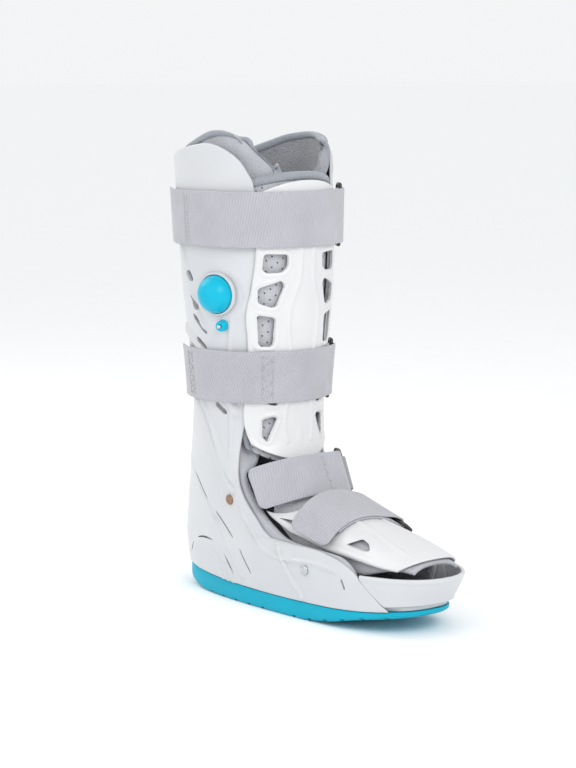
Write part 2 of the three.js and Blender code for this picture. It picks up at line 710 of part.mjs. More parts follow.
// Flat ribbon along a path of arc length and offset, mapped onto the boot across its width.
function ribbonGeometry(path, thickness, halfWidth, place) {
  const sections = path.map((point, i) => {
    const before = path[Math.max(0, i - 1)];
    const after = path[Math.min(path.length - 1, i + 1)];
    const run = new THREE.Vector2(after[0] - before[0], after[1] - before[1]).normalize();
    const side = new THREE.Vector2(-run.y, run.x).multiplyScalar(thickness / 2);
    const corner = (sign, across) => place(point[0] + sign * side.x, point[1] + sign * side.y, across);
    return [corner(-1, -halfWidth), corner(1, -halfWidth), corner(1, halfWidth), corner(-1, halfWidth)];
  });
  return sweepGeometry(sections, false);
}

// Path that runs from an anchor to a bar, turns round it and comes back to a tail.
function foldedPath(anchor, bar, tail, steps, lowAt, barOffset) {
  const path = [];
  const way = Math.sign(bar - anchor);
  const turn = (strapThickness + ringWire) / 2 + layerGap;
  for (let i = 0; i <= steps; i += 1) {
    const run = anchor + (bar - anchor) * (i / steps);
    path.push([run, lowAt(run)]);
  }
  for (let i = 1; i < foldSteps; i += 1) {
    const swing = -Math.PI / 2 + (Math.PI * i) / foldSteps;
    path.push([bar + way * turn * Math.cos(swing), barOffset + turn * Math.sin(swing)]);
  }
  const layer = strapThickness + layerGap;
  for (let i = 0; i <= steps; i += 1) {
    const run = bar + (tail - bar) * (i / steps);
    const settle = easeStep(0, 22, Math.abs(run - bar));
    path.push([run, (barOffset + turn) * (1 - settle) + (lowAt(run) + layer) * settle]);
  }
  return path;
}

// Leg strap: the wrap radius turns arc length into angle.
function legStrapParts(strap) {
  const radius = 0.5 * calfWidth;
  const middle = strap.height * bootHeight;
  const arc = (angle) => angle * degrees * radius;
  const place = (run, offset, across) => legPoint(run / radius, middle + across, -offset);
  const clearAt = (run) => {
    const angle = Math.abs(run / radius) / degrees;
    const over = 1 - easeStep(56, 84, angle);
    return strapClearOnShell + (strapClearOnPanel - strapClearOnShell) * over + strapThickness / 2;
  };
  const bar = arc(strap.ring);
  const turn = (strapThickness + ringWire) / 2 + layerGap;
  const barOffset = clearAt(bar) + turn;
  const strapPath = foldedPath(arc(strap.anchor), bar, arc(strap.tail), 16, clearAt, barOffset);
  const farBar = bar + ringOpening + ringWire;
  const keeperTail = arc(strap.keeperEnd - legKeeperFold);
  const keeperPath = foldedPath(arc(strap.keeperEnd), farBar, keeperTail, 7, clearAt, barOffset);
  return { place, strapPath, keeperPath, bar, farBar, barOffset };
}

// Strap over the instep, its width along the foot.
function instepStrapParts(strap) {
  const radius = 0.44 * footWidth;
  const arc = (angle) => angle * degrees * radius;
  const place = (run, offset, across) => {
    const angle = run / radius;
    const station = strap.station + strap.slant * angle;
    const ahead = instepPoint(station - stationStep, angle, offset);
    const behind = instepPoint(station + stationStep, angle, offset);
    const along = ahead.clone().sub(behind).normalize();
    return ahead.add(behind).multiplyScalar(0.5).addScaledVector(along, across);
  };
  const clearAt = () => strap.lift + strapThickness / 2;
  const bar = arc(strap.ring);
  const turn = (strapThickness + ringWire) / 2 + layerGap;
  const barOffset = clearAt() + turn;
  const strapPath = foldedPath(arc(strap.anchor), bar, arc(strap.tail), 10, clearAt, barOffset);
  const farBar = bar + ringOpening + ringWire;
  const keeperTail = arc(strap.keeperEnd - footKeeperFold);
  const keeperPath = foldedPath(arc(strap.keeperEnd), farBar, keeperTail, 5, clearAt, barOffset);
  return { place, strapPath, keeperPath, bar, farBar, barOffset };
}

// Rectangular wire ring round both folds, in the strap's own place function.
function ringGeometry(parts, halfWidth) {
  const wire = ringWire / 2;
  const reach = halfWidth + ringSideClear + wire;
  const spine = [];
  const stepAt = (i) => (2 * reach * i) / wireSteps;
  for (let i = 0; i < wireSteps; i += 1) spine.push([parts.bar, stepAt(i) - reach]);
  spine.push([parts.bar, reach], [(parts.bar + parts.farBar) / 2, reach]);
  for (let i = 0; i < wireSteps; i += 1) spine.push([parts.farBar, reach - stepAt(i)]);
  spine.push([parts.farBar, -reach], [(parts.bar + parts.farBar) / 2, -reach]);
  const centres = spine.map(([run, across]) => parts.place(run, parts.barOffset, across));
  const count = centres.length;
  const sections = centres.map((centre, i) => {
    const along = centres[(i + 1) % count].clone().sub(centres[(i + count - 1) % count]).normalize();
    const [run, across] = spine[i];
    const out = parts.place(run, parts.barOffset + 1, across).sub(centre).normalize();
    const side = new THREE.Vector3().crossVectors(along, out).normalize();
    const lift = new THREE.Vector3().crossVectors(side, along).normalize();
    return Array.from({ length: wireSides }, (_, j) => {
      const angle = (j / wireSides) * 2 * Math.PI;
      return centre.clone()
        .addScaledVector(side, wire * Math.cos(angle))
        .addScaledVector(lift, wire * Math.sin(angle));
    });
  });
  return sweepGeometry(sections, true);
}

// Round piece standing on a side wall: profile of radius and height, turned onto the wall.
function wallFitting(profile, sides, place, side, seat) {
  const geometry = new THREE.LatheGeometry(profile.map(([r, h]) => new THREE.Vector2(r, h)), sides);
  const height = place.height * bootHeight;
  const spot = sidePoint(place.along * bootLength, height, side);
  const ahead = sidePoint(place.along * bootLength + 1, height, side).sub(spot);
  const above = sidePoint(place.along * bootLength, height + 1, side).sub(spot);
  const out = new THREE.Vector3().crossVectors(ahead, above).multiplyScalar(-side).normalize();
  const turn = new THREE.Quaternion().setFromUnitVectors(new THREE.Vector3(0, 1, 0), out);
  geometry.applyQuaternion(turn);
  const start = spot.addScaledVector(out, seat);
  return geometry.translate(start.x, start.y, start.z);
}

// Point of the shell's outer face at a place along the boot, found by halving the angle range.
function sidePoint(x, height, side) {
  let [front, back] = [0, Math.PI];
  for (let i = 0; i < 30; i += 1) {
    const middle = (front + back) / 2;
    if (legPoint(middle, height, 0).x > x) front = middle;
    else back = middle;
  }
  return legPoint(side * front, height, 0);
}

// Profiles as radius and height from the axis back to the axis, or round a ring.
function domeProfile(radius, height) {
  const profile = [[0, 0], [radius * domeFoot, 0]];
  for (let i = 0; i < domeSteps; i += 1) {
    const angle = (Math.PI / 2) * (i / domeSteps);
    profile.push([radius * Math.cos(angle), height * (domeRise + (1 - domeRise) * Math.sin(angle))]);
  }
  return [...profile, [0, height]];
}

const ringProfile = (inner, outer, height) => [
  [inner, 0], [outer, 0], [outer - ringChamfer * height, height], [inner, height], [inner, 0],
];
const studProfile = (radius, height, taper) => [[0, 0], [radius, 0], [radius * taper, height], [0, height]];

const boot = new THREE.Group();

function addPiece(name, geometry, material) {
  const mesh = new THREE.Mesh(geometry, material);
  mesh.name = name;
  boot.add(mesh);
}

addPiece('outsole', outsole(), materials.sole);
addPiece('foot_plate', footPlate(), materials.shell);
addPiece('rear_shell', rearShell(), materials.shell);
addPiece('toe_guard', toeGuard(), materials.shell);
addPiece('front_panel', frontPanel(), materials.panel);
addPiece('instep_panel', instepPanel(), materials.panel);
addPiece('calf_liner', calfLiner(), materials.liner);
addPiece('tongue_liner', tongueLiner(), materials.liner);
addPiece('foot_liner', footLiner(), materials.liner);
addPiece('insole', insole(), materials.insole);

const strapSets = [
  ...legStraps.map((strap) => ({ strap, width: strap.width, parts: legStrapParts(strap) })),
  ...instepStraps.map((strap) => ({ strap, width: strap.width, parts: instepStrapParts(strap) })),
];
strapSets.forEach(({ strap, width, parts }) => {
  const half = width / 2;
  const ribbon = ribbonGeometry(parts.strapPath, strapThickness, half, parts.place);
  const keeper = ribbonGeometry(parts.keeperPath, strapThickness, half * keeperWidthShare, parts.place);
  addPiece(`strap_${strap.name}`, ribbon, materials.strap);
  addPiece(`ring_${strap.name}`, ringGeometry(parts, half), materials.ring);
  addPiece(`keeper_${strap.name}`, keeper, materials.strap);
});

const collarProfile = ringProfile(bulbRadius + seatGap, collarRadius, collarHeight);
const bulbProfile = domeProfile(bulbRadius, bulbHeight);
addPiece('bulb_collar', wallFitting(collarProfile, bulbSides, bulbPlace, -1, seatGap), materials.shell);
addPiece('pump_bulb', wallFitting(bulbProfile, bulbSides, bulbPlace, -1, seatGap), materials.pump);
const valveProfile = studProfile(valveRadius, valveHeight, valveTaper);
const stemProfile = studProfile(stemRadius, stemHeight, 1);
const stemSeat = seatGap + valveHeight + seatGap;
addPiece('valve_body', wallFitting(valveProfile, rivetSides, valvePlace, -1, seatGap), materials.pump);
addPiece('valve_stem', wallFitting(stemProfile, rivetSides, valvePlace, -1, stemSeat), materials.steel);

const rivetProfile = [
  [0, 0], [rivetRadius, 0], [rivetRadius, rivetHeight * 0.4], [rivetRadius * 0.6, rivetHeight],
  [0, rivetHeight],
];
[['ankle', ankleRivet], ['toe', toeRivet]].forEach(([name, place]) => {
  [['near', -1], ['far', 1]].forEach(([sideName, side]) => {
    const rivet = wallFitting(rivetProfile, rivetSides, place, side, seatGap);
    addPiece(`rivet_${name}_${sideName}`, rivet, materials.rivet);
  });
});

export default boot;
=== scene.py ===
import math

import bmesh
import bpy
import numpy as np
from mathutils import Matrix, Vector


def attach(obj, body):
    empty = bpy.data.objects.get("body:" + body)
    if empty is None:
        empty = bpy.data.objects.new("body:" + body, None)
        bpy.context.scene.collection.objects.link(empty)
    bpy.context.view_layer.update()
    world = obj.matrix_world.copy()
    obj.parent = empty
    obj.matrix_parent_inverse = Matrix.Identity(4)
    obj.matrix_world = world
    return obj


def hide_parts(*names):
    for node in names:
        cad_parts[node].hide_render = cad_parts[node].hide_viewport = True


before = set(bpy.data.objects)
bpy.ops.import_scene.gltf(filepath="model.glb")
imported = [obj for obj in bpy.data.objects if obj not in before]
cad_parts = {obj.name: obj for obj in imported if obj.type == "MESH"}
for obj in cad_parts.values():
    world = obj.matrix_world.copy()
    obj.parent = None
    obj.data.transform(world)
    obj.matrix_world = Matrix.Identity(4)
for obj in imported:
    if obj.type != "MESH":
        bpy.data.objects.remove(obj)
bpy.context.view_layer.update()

# Sizes in metres, the same as the solids'.
bootLength = 0.344
bootHeight = 0.438
calfWidth = 0.138
footWidth = 0.118
shellWall = 0.003
panelWall = 0.0026
panelLift = 0.0005
linerGap = 0.0006
linerWall = 0.0075
tongueGap = 0.0015
tongueWall = 0.0055
wingGap = 0.0015
flapGap = 0.002
flapWall = 0.005
lobeLean = 0.008
plateWall = 0.0045
plateReveal = 0.0012
guardWall = 0.003
guardSeam = 0.0008
insoleWall = 0.006
insoleMargin = 0.002
seatGap = 0.0003
strapThickness = 0.0018
layerGap = 0.0004
legStrapWidth = 0.051
calfStrapWidth = 0.048
ankleStrapWidth = 0.040
ringWire = 0.0034
ringSideClear = 0.0012
ringOpening = 0.009
keeperWidthShare = 0.8
strapClear = 0.0012
strapCorner = 0.007
stitchLength = 0.0026
stitchMargin = 0.0035
ringCurl = 0.003
legRadius = 0.5 * calfWidth
archRadius = 0.44 * footWidth

# Level outlines of the shell, as shares of the boot's height, length and widths.
shellLevels = {
    "height": [
        0.030, 0.070, 0.121, 0.175, 0.235, 0.300, 0.365,
        0.430, 0.540, 0.655, 0.740, 0.870, 1.000,
    ],
    "back": [
        -0.498, -0.506, -0.510, -0.510, -0.497, -0.474, -0.450,
        -0.440, -0.449, -0.470, -0.480, -0.492, -0.506,
    ],
    "widest": [
        0.175, 0.175, 0.170, 0.110, -0.070, -0.200, -0.251,
        -0.263, -0.266, -0.267, -0.270, -0.276, -0.282,
    ],
    "front": [
        0.434, 0.455, 0.486, 0.450, 0.120, -0.070, -0.098,
        -0.096, -0.085, -0.073, -0.065, -0.061, -0.057,
    ],
    "foot": [0.455, 0.475, 0.500, 0.478, 0.472, 0.240, 0.0, 0.0, 0.0, 0.0, 0.0, 0.0, 0.0],
    "calf": [0.0, 0.0, 0.0, 0.0, 0.0, 0.202, 0.417, 0.424, 0.450, 0.483, 0.497, 0.512, 0.526],
    "rear": [2.7, 2.7, 2.7, 2.6, 2.4, 2.3, 2.2, 2.1, 2.1, 2.1, 2.1, 2.1, 2.1],
    "fore": [2.3, 2.3, 2.3, 2.3, 2.2, 2.2, 2.1, 2.1, 2.1, 2.1, 2.1, 2.1, 2.1],
}
soleLevels = {
    "along": [-0.530, -0.470, -0.405, -0.345, -0.180, 0.000, 0.080, 0.180, 0.300, 0.400, 0.520],
    "top": [0.0560, 0.0510, 0.0465, 0.0430, 0.0385, 0.0370, 0.0375, 0.0390, 0.0430, 0.0490, 0.0590],
    "bottom": [0.0260, 0.0160, 0.0050, 0.0, 0.0, 0.0, 0.0, 0.0070, 0.0240, 0.0340, 0.0440],
}
instepLevels = {
    "station": [0.00, 0.20, 0.46, 0.72, 0.77, 0.82, 1.00],
    "along": [0.445, 0.330, 0.176, 0.010, -0.112, -0.152, -0.215],
    "height": [0.112, 0.103, 0.100, 0.114, 0.171, 0.236, 0.342],
    "lean": [0, 0, 0, 4, 45, 68, 84],
    "rise": [0.046, 0.080, 0.110, 0.130, 0.106, 0.094, 0.104],
    "half": [0.310, 0.372, 0.376, 0.380, 0.405, 0.424, 0.440],
}
instepRound = 2.2
panelEdges = {
    "height": [0.300, 0.340, 0.400, 0.480, 0.560, 0.610, 0.680, 0.750, 0.900],
    "edge": [30, 48, 53, 49, 48, 49, 44, 41, 39],
}


def sharp(value, power):
    return np.sign(value) * np.abs(value) ** power


def smooth(low, high, value):
    share = np.clip((value - low) / (high - low), 0, 1)
    return share * share * (3 - 2 * share)


# Smooth value of a table column, without overshoot between rows.
def tableValue(table, key, place, column):
    x = np.asarray(table[key], float)
    y = np.asarray(table[column], float)
    slopes = np.diff(y) / np.diff(x)
    before, after = slopes[:-1], slopes[1:]
    total = np.where(before + after == 0, 1, before + after)
    middle = np.where(before * after > 0, 2 * before * after / total, 0)
    tangents = np.concatenate([slopes[:1], middle, slopes[-1:]])
    place = np.clip(place, x[0], x[-1])
    index = np.clip(np.searchsorted(x, place) - 1, 0, len(x) - 2)
    span = x[index + 1] - x[index]
    t = (place - x[index]) / span
    start = y[index] * (1 + 2 * t) * (1 - t) ** 2
    end = y[index + 1] * t * t * (3 - 2 * t)
    startTurn = tangents[index] * span * t * (1 - t) ** 2
    endTurn = tangents[index + 1] * span * t * t * (t - 1)
    return start + end + startTurn + endTurn


# Points of the shell's outer outline at angles from the front, moved inwards.
def legPoint(angle, height, inset):
    share = np.asarray(height) / bootHeight
    columns = [name for name in shellLevels if name != "height"]
    level = {name: tableValue(shellLevels, "height", share, name) for name in columns}
    widest = level["widest"] * bootLength
    isFore = np.cos(angle) >= 0
    reach = np.where(isFore, level["front"] * bootLength - widest, widest - level["back"] * bootLength)
    power = 2 / np.where(isFore, level["fore"], level["rear"])
    half = level["foot"] * footWidth + level["calf"] * calfWidth
    x = widest + (reach - inset) * sharp(np.cos(angle), power)
    y = (half - inset) * sharp(np.sin(angle), power)
    return np.stack(np.broadcast_arrays(x, y, height), axis=-1)


# Points of the arches over the instep, at angles from their crown, moved outwards.
def instepPoint(station, angle, outset):
    columns = [name for name in instepLevels if name != "station"]
    level = {name: tableValue(instepLevels, "station", station, name) for name in columns}
    lean = np.radians(level["lean"])
    power = 2 / instepRound
    up = (level["rise"] * bootHeight + outset) * sharp(np.cos(angle), power)
    x = level["along"] * bootLength + up * np.sin(lean)
    y = (level["half"] * footWidth + outset) * sharp(np.sin(angle), power)
    z = level["height"] * bootHeight + up * np.cos(lean)
    return np.stack(np.broadcast_arrays(x, y, z), axis=-1)


def soleTop(x):
    return bootHeight * tableValue(soleLevels, "along", x / bootLength, "top")


def soleBottom(x):
    return bootHeight * tableValue(soleLevels, "along", x / bootLength, "bottom")


# Smooth line through a few points, sampled at even lengths.
def smoothPath(points, shares):
    points = np.asarray(points, float)
    padded = np.concatenate([2 * points[:1] - points[1:2], points, 2 * points[-1:] - points[-2:-1]])
    t = np.linspace(0, 1, 24, endpoint=False)[:, None]
    pieces = []
    for a, b, c, d in zip(padded, padded[1:], padded[2:], padded[3:]):
        turn = (c - a) * t + (2 * a - 5 * b + 4 * c - d) * t**2 + (3 * b - a - 3 * c + d) * t**3
        pieces.append(b + 0.5 * turn)
    line = np.concatenate([*pieces, points[-1:]])
    steps = np.linalg.norm(np.diff(line, axis=0), axis=1)
    run = np.concatenate([[0], np.cumsum(steps)])
    return np.stack([np.interp(np.asarray(shares) * run[-1], run, column) for column in line.T], axis=-1)


# Distance of points in a plane from a line through corners.
def lineDistance(x, y, corners):
    nearest = np.full(np.shape(x), 1.0)
    for (ax, ay), (bx, by) in zip(corners, corners[1:]):
        length = (bx - ax) ** 2 + (by - ay) ** 2
        t = np.clip(((x - ax) * (bx - ax) + (y - ay) * (by - ay)) / length, 0, 1)
        nearest = np.minimum(nearest, np.hypot(x - ax - t * (bx - ax), y - ay - t * (by - ay)))
    return nearest


def raised(distance, halfWidth, height):
    return height * (1 - smooth(0.25 * halfWidth, halfWidth, distance))


# Positions from 0 to 1 with close steps inside the rounded rim at both ends.
def rimSteps(count, length, rim):
    near = np.array([0, 0.05, 0.18, 0.40, 0.70]) * rim / length
    middle = np.linspace(rim / length, 1 - rim / length, count - 2 * len(near) + 1)
    return np.concatenate([near, middle, 1 - near[::-1]])


def addObject(name, mesh, materials):
    data = bpy.data.meshes.new(name)
    mesh.to_mesh(data)
    mesh.free()
    for material in materials:
        data.materials.append(material)
    obj = bpy.data.objects.new(name, data)
    bpy.context.scene.collection.objects.link(obj)
    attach(obj, "root")
    return obj


def rowLengths(points, axis):
    steps = np.linalg.norm(np.diff(points, axis=axis), axis=-1)
    run = np.cumsum(steps, axis=axis)
    zero = np.zeros_like(np.take(run, [0], axis=axis))
    return np.concatenate([zero, run], axis=axis)


def unitRows(rows):
    return rows / np.maximum(np.linalg.norm(rows, axis=-1, keepdims=True), 1e-12)


# Unit normals of a grid, blurred by cell area so that folded corner cells don't turn them.
def gridNormals(points, facing, passes):
    normal = np.cross(np.gradient(points, axis=1), np.gradient(points, axis=0)) * facing
    for _ in range(passes):
        wide = np.pad(normal, ((1, 1), (1, 1), (0, 0)), mode="edge")
        normal = 2 * normal + wide[:-2, 1:-1] + wide[2:, 1:-1] + wide[1:-1, :-2] + wide[1:-1, 2:]
    return unitRows(normal)


# Closed wall with a rounded rim: a grid is extruded to two faces, laid on a surface of s and t.
def wallPiece(name, surface, spec, materials, relief=None):
    columns, rows, rim = spec["columns"], spec["rows"], spec["rim"]
    s, t = np.meshgrid(rimSteps(columns, spec["width"], rim), rimSteps(rows, spec["height"], rim))
    points = surface(s, t)
    across = rowLengths(points, 1)
    along = rowLengths(points, 0)
    edge = np.minimum(
        np.minimum(across, across[:, -1:] - across),
        np.minimum(along, along[-1:, :] - along),
    )
    normal = gridNormals(points, spec["facing"], spec.get("blur", 0))
    fill = 0.10 + 0.90 * np.sqrt(1 - (1 - np.clip(edge / rim, 0, 1)) ** 2)
    half = (spec["wall"] / 2 * fill)[..., None]
    lift = 0 if relief is None else relief(points, s, t)[..., None]
    outer = points + normal * (half + lift)
    inner = points - normal * half

    mesh = bmesh.new()
    bmesh.ops.create_grid(mesh, x_segments=columns, y_segments=rows, size=1)
    uvLayer = mesh.loops.layers.uv.new("lengths")
    faces = mesh.faces[:]
    made = bmesh.ops.extrude_face_region(mesh, geom=faces, use_keep_orig=True)["geom"]
    top = {item for item in made if isinstance(item, bmesh.types.BMVert)}
    cells = {}
    for vert in mesh.verts:
        column = round((vert.co.x + 1) / 2 * columns)
        row = round((vert.co.y + 1) / 2 * rows)
        cells[vert] = (row, column)
    for vert, cell in cells.items():
        vert.co = outer[cell] if vert in top else inner[cell]
    for face in mesh.faces:
        face.smooth = True
        if len(materials) > 1 and not any(vert in top for vert in face.verts):
            face.material_index = 1
        for loop in face.loops:
            cell = cells[loop.vert]
            loop[uvLayer].uv = (across[cell] - across[cell[0], -1] / 2, along[cell])
    bmesh.ops.recalc_face_normals(mesh, faces=mesh.faces[:])
    return addObject(name, mesh, materials)


# Wall that wraps round the back of the leg from one front edge to the other.
def wrapSurface(outline, corner, insetAt, lift, farRise=0):
    outline = np.asarray(outline) * (bootLength, bootHeight)
    frontEdge, topEdge = outline[: corner + 1], outline[corner:]

    def surface(s, t):
        rows = t[:, 0]
        edge = smoothPath(frontEdge, rows)
        edgeX, edgeZ = edge[:, :1], edge[:, 1:]
        low, high = np.zeros_like(edgeX), np.full_like(edgeX, math.pi)
        for _ in range(30):
            middle = (low + high) / 2
            isAhead = legPoint(middle, edgeZ, insetAt(middle, edgeZ))[..., 0] > edgeX
            low, high = np.where(isAhead, middle, low), np.where(isAhead, high, middle)
        risen = np.maximum.accumulate((edgeZ - edgeZ[0]) / (edgeZ[-1] - edgeZ[0]))
        share = 0.35 * rows[:, None] + 0.65 * risen
        backLow = soleTop(outline[-1, 0]) + lift
        backZ = backLow + (topEdge[-1, 1] - backLow) * share
        q = np.linspace(-1, 1, 721)[None, :]
        angle = np.where(q < 0, -1, 1) * (low + (math.pi - low) * (1 - np.abs(q)))
        line = backZ + (edgeZ - backZ) * q**2
        topLine = line[-1:] + 0 * angle
        floorLine = line[:1] + 0 * angle
        toTop = smooth(0.55, 1, rows)[:, None]
        toFloor = 1 - smooth(0, 0.4, rows)[:, None]
        height = line
        topRun = smoothPath(topEdge, np.linspace(0, 1, 200))[::-1]
        for _ in range(4):
            x = legPoint(angle, height, insetAt(angle, height))[..., 0]
            dome = np.interp(x[-1:], topRun[:, 0], topRun[:, 1]) - topLine
            ground = soleTop(x[:1]) + lift - floorLine
            height = line + toTop * dome + toFloor * ground
        fine = legPoint(angle, height, insetAt(angle, height))
        behind = 1 - smooth(-0.125, -0.075, fine[..., 0])
        fine[..., 2] += farRise * toTop * smooth(0.05, 0.35, q) * (1.6 * behind - 0.6)
        run = rowLengths(fine, 1)
        out = np.empty(s.shape + (3,))
        for row in range(len(rows)):
            for axis in range(3):
                out[row, :, axis] = np.interp(s[row] * run[row, -1], run[row], fine[row, :, axis])
        return out

    return surface


def newMaterial(name):
    material = bpy.data.materials.new(name)
    material.use_nodes = True
    return material, material.node_tree, material.node_tree.nodes["Principled BSDF"]


def addNode(tree, kind, **settings):
    node = tree.nodes.new(kind)
    for key, value in settings.items():
        if key in node.inputs:
            node.inputs[key].default_value = value
        else:
            setattr(node, key, value)
    return node


def addMath(tree, operation, first, second):
    node = tree.nodes.new("ShaderNodeMath")
    node.operation = operation
    for socket, value in zip(node.inputs, (first, second)):
        if isinstance(value, (int, float)):
            socket.default_value = value
        else:
            tree.links.new(value, socket)
    return node.outputs[0]


def addMix(tree, factor, first, second):
    node = tree.nodes.new("ShaderNodeMix")
    node.data_type = "RGBA"
    for socket, value in zip((node.inputs[0], node.inputs[6], node.inputs[7]), (factor, first, second)):
        if isinstance(value, (int, float)):
            socket.default_value = value
        elif isinstance(value, tuple):
            socket.default_value = (*value, 1)
        else:
            tree.links.new(value, socket)
    return node.outputs[2]


def addRange(tree, value, low, high, toLow, toHigh):
    node = tree.nodes.new("ShaderNodeMapRange")
    tree.links.new(value, node.inputs[0])
    for socket, number in zip(node.inputs[1:], (low, high, toLow, toHigh)):
        socket.default_value = number
    return node.outputs[0]


def addBump(tree, shader, height, distance, strength=1.0):
    bump = addNode(tree, "ShaderNodeBump", Strength=strength, Distance=distance)
    tree.links.new(height, bump.inputs["Height"])
    tree.links.new(bump.outputs["Normal"], shader.inputs["Normal"])


# Shared masks: a group takes a vector and gives values only.
def newGroup(name, outputs):
    group = bpy.data.node_groups.new(name, "ShaderNodeTree")
    group.interface.new_socket("Vector", in_out="INPUT", socket_type="NodeSocketVector")
    for output in outputs:
        group.interface.new_socket(output, in_out="OUTPUT", socket_type="NodeSocketFloat")
    return group, group.nodes.new("NodeGroupInput"), group.nodes.new("NodeGroupOutput")


def mouldedGroup():
    group, start, end = newGroup("mouldedSkin", ["Cloud", "Grain", "Scuff"])
    for output, scale, detail in (("Cloud", 14, 3), ("Grain", 900, 2)):
        noise = addNode(group, "ShaderNodeTexNoise", Scale=scale, Detail=detail)
        group.links.new(start.outputs[0], noise.inputs["Vector"])
        group.links.new(noise.outputs["Fac"], end.inputs[output])
    streak = addNode(group, "ShaderNodeMapping")
    streak.inputs["Scale"].default_value = (1, 1, 6)
    group.links.new(start.outputs[0], streak.inputs["Vector"])
    noise = addNode(group, "ShaderNodeTexNoise", Scale=60, Detail=6, Roughness=0.7)
    group.links.new(streak.outputs[0], noise.inputs["Vector"])
    group.links.new(addRange(group, noise.outputs["Fac"], 0.62, 0.72, 0, 1), end.inputs["Scuff"])
    return group


def wovenGroup():
    group, start, end = newGroup("wovenBands", ["Threads", "Ribs", "Fuzz", "Cloud"])
    split = addNode(group, "ShaderNodeSeparateXYZ")
    group.links.new(start.outputs[0], split.inputs[0])
    waves = []
    for axis, step in ((0, 0.0014), (1, 0.0026)):
        turn = addMath(group, "MULTIPLY", split.outputs[axis], 2 * math.pi / step)
        waves.append(addMath(group, "SINE", turn, 0))
    crossing = addMath(group, "MULTIPLY", waves[0], waves[1])
    group.links.new(addRange(group, crossing, -1, 1, 0, 1), end.inputs["Threads"])
    group.links.new(addRange(group, waves[1], -1, 1, 0, 1), end.inputs["Ribs"])
    for output, scale, detail in (("Fuzz", 1500, 3), ("Cloud", 30, 4)):
        noise = addNode(group, "ShaderNodeTexNoise", Scale=scale, Detail=detail)
        group.links.new(start.outputs[0], noise.inputs["Vector"])
        group.links.new(noise.outputs["Fac"], end.inputs[output])
    return group


def knitGroup():
    group, start, end = newGroup("knitFoam", ["Loops", "Pile", "Cloud", "Holes"])
    cells = addNode(group, "ShaderNodeTexVoronoi", Scale=520)
    group.links.new(start.outputs[0], cells.inputs["Vector"])
    group.links.new(cells.outputs["Distance"], end.inputs["Loops"])
    for output, scale, detail in (("Pile", 700, 6), ("Cloud", 45, 4)):
        noise = addNode(group, "ShaderNodeTexNoise", Scale=scale, Detail=detail)
        group.links.new(start.outputs[0], noise.inputs["Vector"])
        group.links.new(noise.outputs["Fac"], end.inputs[output])
    turned = addNode(group, "ShaderNodeMapping")
    turned.inputs["Rotation"].default_value = (0, 0, math.pi / 4)
    group.links.new(start.outputs[0], turned.inputs["Vector"])
    lattice = addNode(group, "ShaderNodeTexVoronoi", Scale=140, Randomness=0)
    group.links.new(turned.outputs[0], lattice.inputs["Vector"])
    group.links.new(addRange(group, lattice.outputs["Distance"], 0.09, 0.13, 1, 0), end.inputs["Holes"])
    return group


groups = {"moulded": mouldedGroup(), "woven": wovenGroup(), "knit": knitGroup()}


def useGroup(tree, name, coordinate):
    place = tree.nodes.new("ShaderNodeTexCoord")
    node = tree.nodes.new("ShaderNodeGroup")
    node.node_tree = groups[name]
    tree.links.new(place.outputs[coordinate], node.inputs[0])
    return node


def plasticMaterial(name, spec):
    material, tree, shader = newMaterial(name)
    skin = useGroup(tree, "moulded", "Object")
    tint = addRange(tree, skin.outputs["Cloud"], 0.3, 0.7, 0, 1)
    color = addMix(tree, tint, spec["color"], spec["shade"])
    tree.links.new(color, shader.inputs["Base Color"])
    rough = addRange(tree, skin.outputs["Cloud"], 0.3, 0.7, spec["rough"], spec["rough"] + 0.08)
    worn = addMath(tree, "MULTIPLY", skin.outputs["Scuff"], 0.08)
    tree.links.new(addMath(tree, "ADD", rough, worn), shader.inputs["Roughness"])
    addBump(tree, shader, skin.outputs["Grain"], spec["grain"])
    shader.inputs["IOR"].default_value = spec["ior"]
    shader.inputs["Coat Weight"].default_value = spec["coat"]
    shader.inputs["Coat Roughness"].default_value = 0.22
    return material


def webbingMaterial(name, spec):
    material, tree, shader = newMaterial(name)
    weave = useGroup(tree, "woven", "UV")
    tint = addMath(tree, "MULTIPLY", weave.outputs["Ribs"], 0.45)
    tint = addMath(tree, "ADD", tint, addRange(tree, weave.outputs["Cloud"], 0.3, 0.7, 0, 0.4))
    color = addMix(tree, tint, spec["color"], spec["shade"])
    fuzz = addRange(tree, weave.outputs["Fuzz"], 0.45, 0.75, 0, spec["fuzz"])
    tree.links.new(addMix(tree, fuzz, color, spec["light"]), shader.inputs["Base Color"])
    shader.inputs["Roughness"].default_value = 0.86
    shader.inputs["Sheen Weight"].default_value = 0.35
    shader.inputs["Sheen Roughness"].default_value = 0.5
    height = addMath(tree, "ADD", weave.outputs["Threads"], weave.outputs["Fuzz"])
    height = addMath(tree, "ADD", height, weave.outputs["Ribs"])
    addBump(tree, shader, height, 0.0003)
    return material


def foamMaterial(name, spec):
    material, tree, shader = newMaterial(name)
    knit = useGroup(tree, "knit", spec.get("space", "Object"))
    cloud = addRange(tree, knit.outputs["Cloud"], 0.3, 0.7, 0, 1)
    color = addMix(tree, cloud, spec["color"], spec["shade"])
    pile = addRange(tree, knit.outputs["Pile"], 0.35, 0.7, 0, spec["pile"])
    color = addMix(tree, pile, color, spec["light"])
    # Perforation holes: painted shade, a near-black colour standing in for the shadow inside each hole.
    if spec["holes"]:
        color = addMix(tree, knit.outputs["Holes"], color, spec["holeShade"])
    tree.links.new(color, shader.inputs["Base Color"])
    shader.inputs["Roughness"].default_value = 0.93
    shader.inputs["Sheen Weight"].default_value = 0.3
    shader.inputs["Sheen Roughness"].default_value = 0.6
    height = addMath(tree, "MULTIPLY", knit.outputs["Pile"], spec["nap"])
    height = addMath(tree, "ADD", height, knit.outputs["Loops"])
    if spec["holes"]:
        height = addMath(tree, "SUBTRACT", height, addMath(tree, "MULTIPLY", knit.outputs["Holes"], 3))
    addBump(tree, shader, height, spec["bump"])
    return material


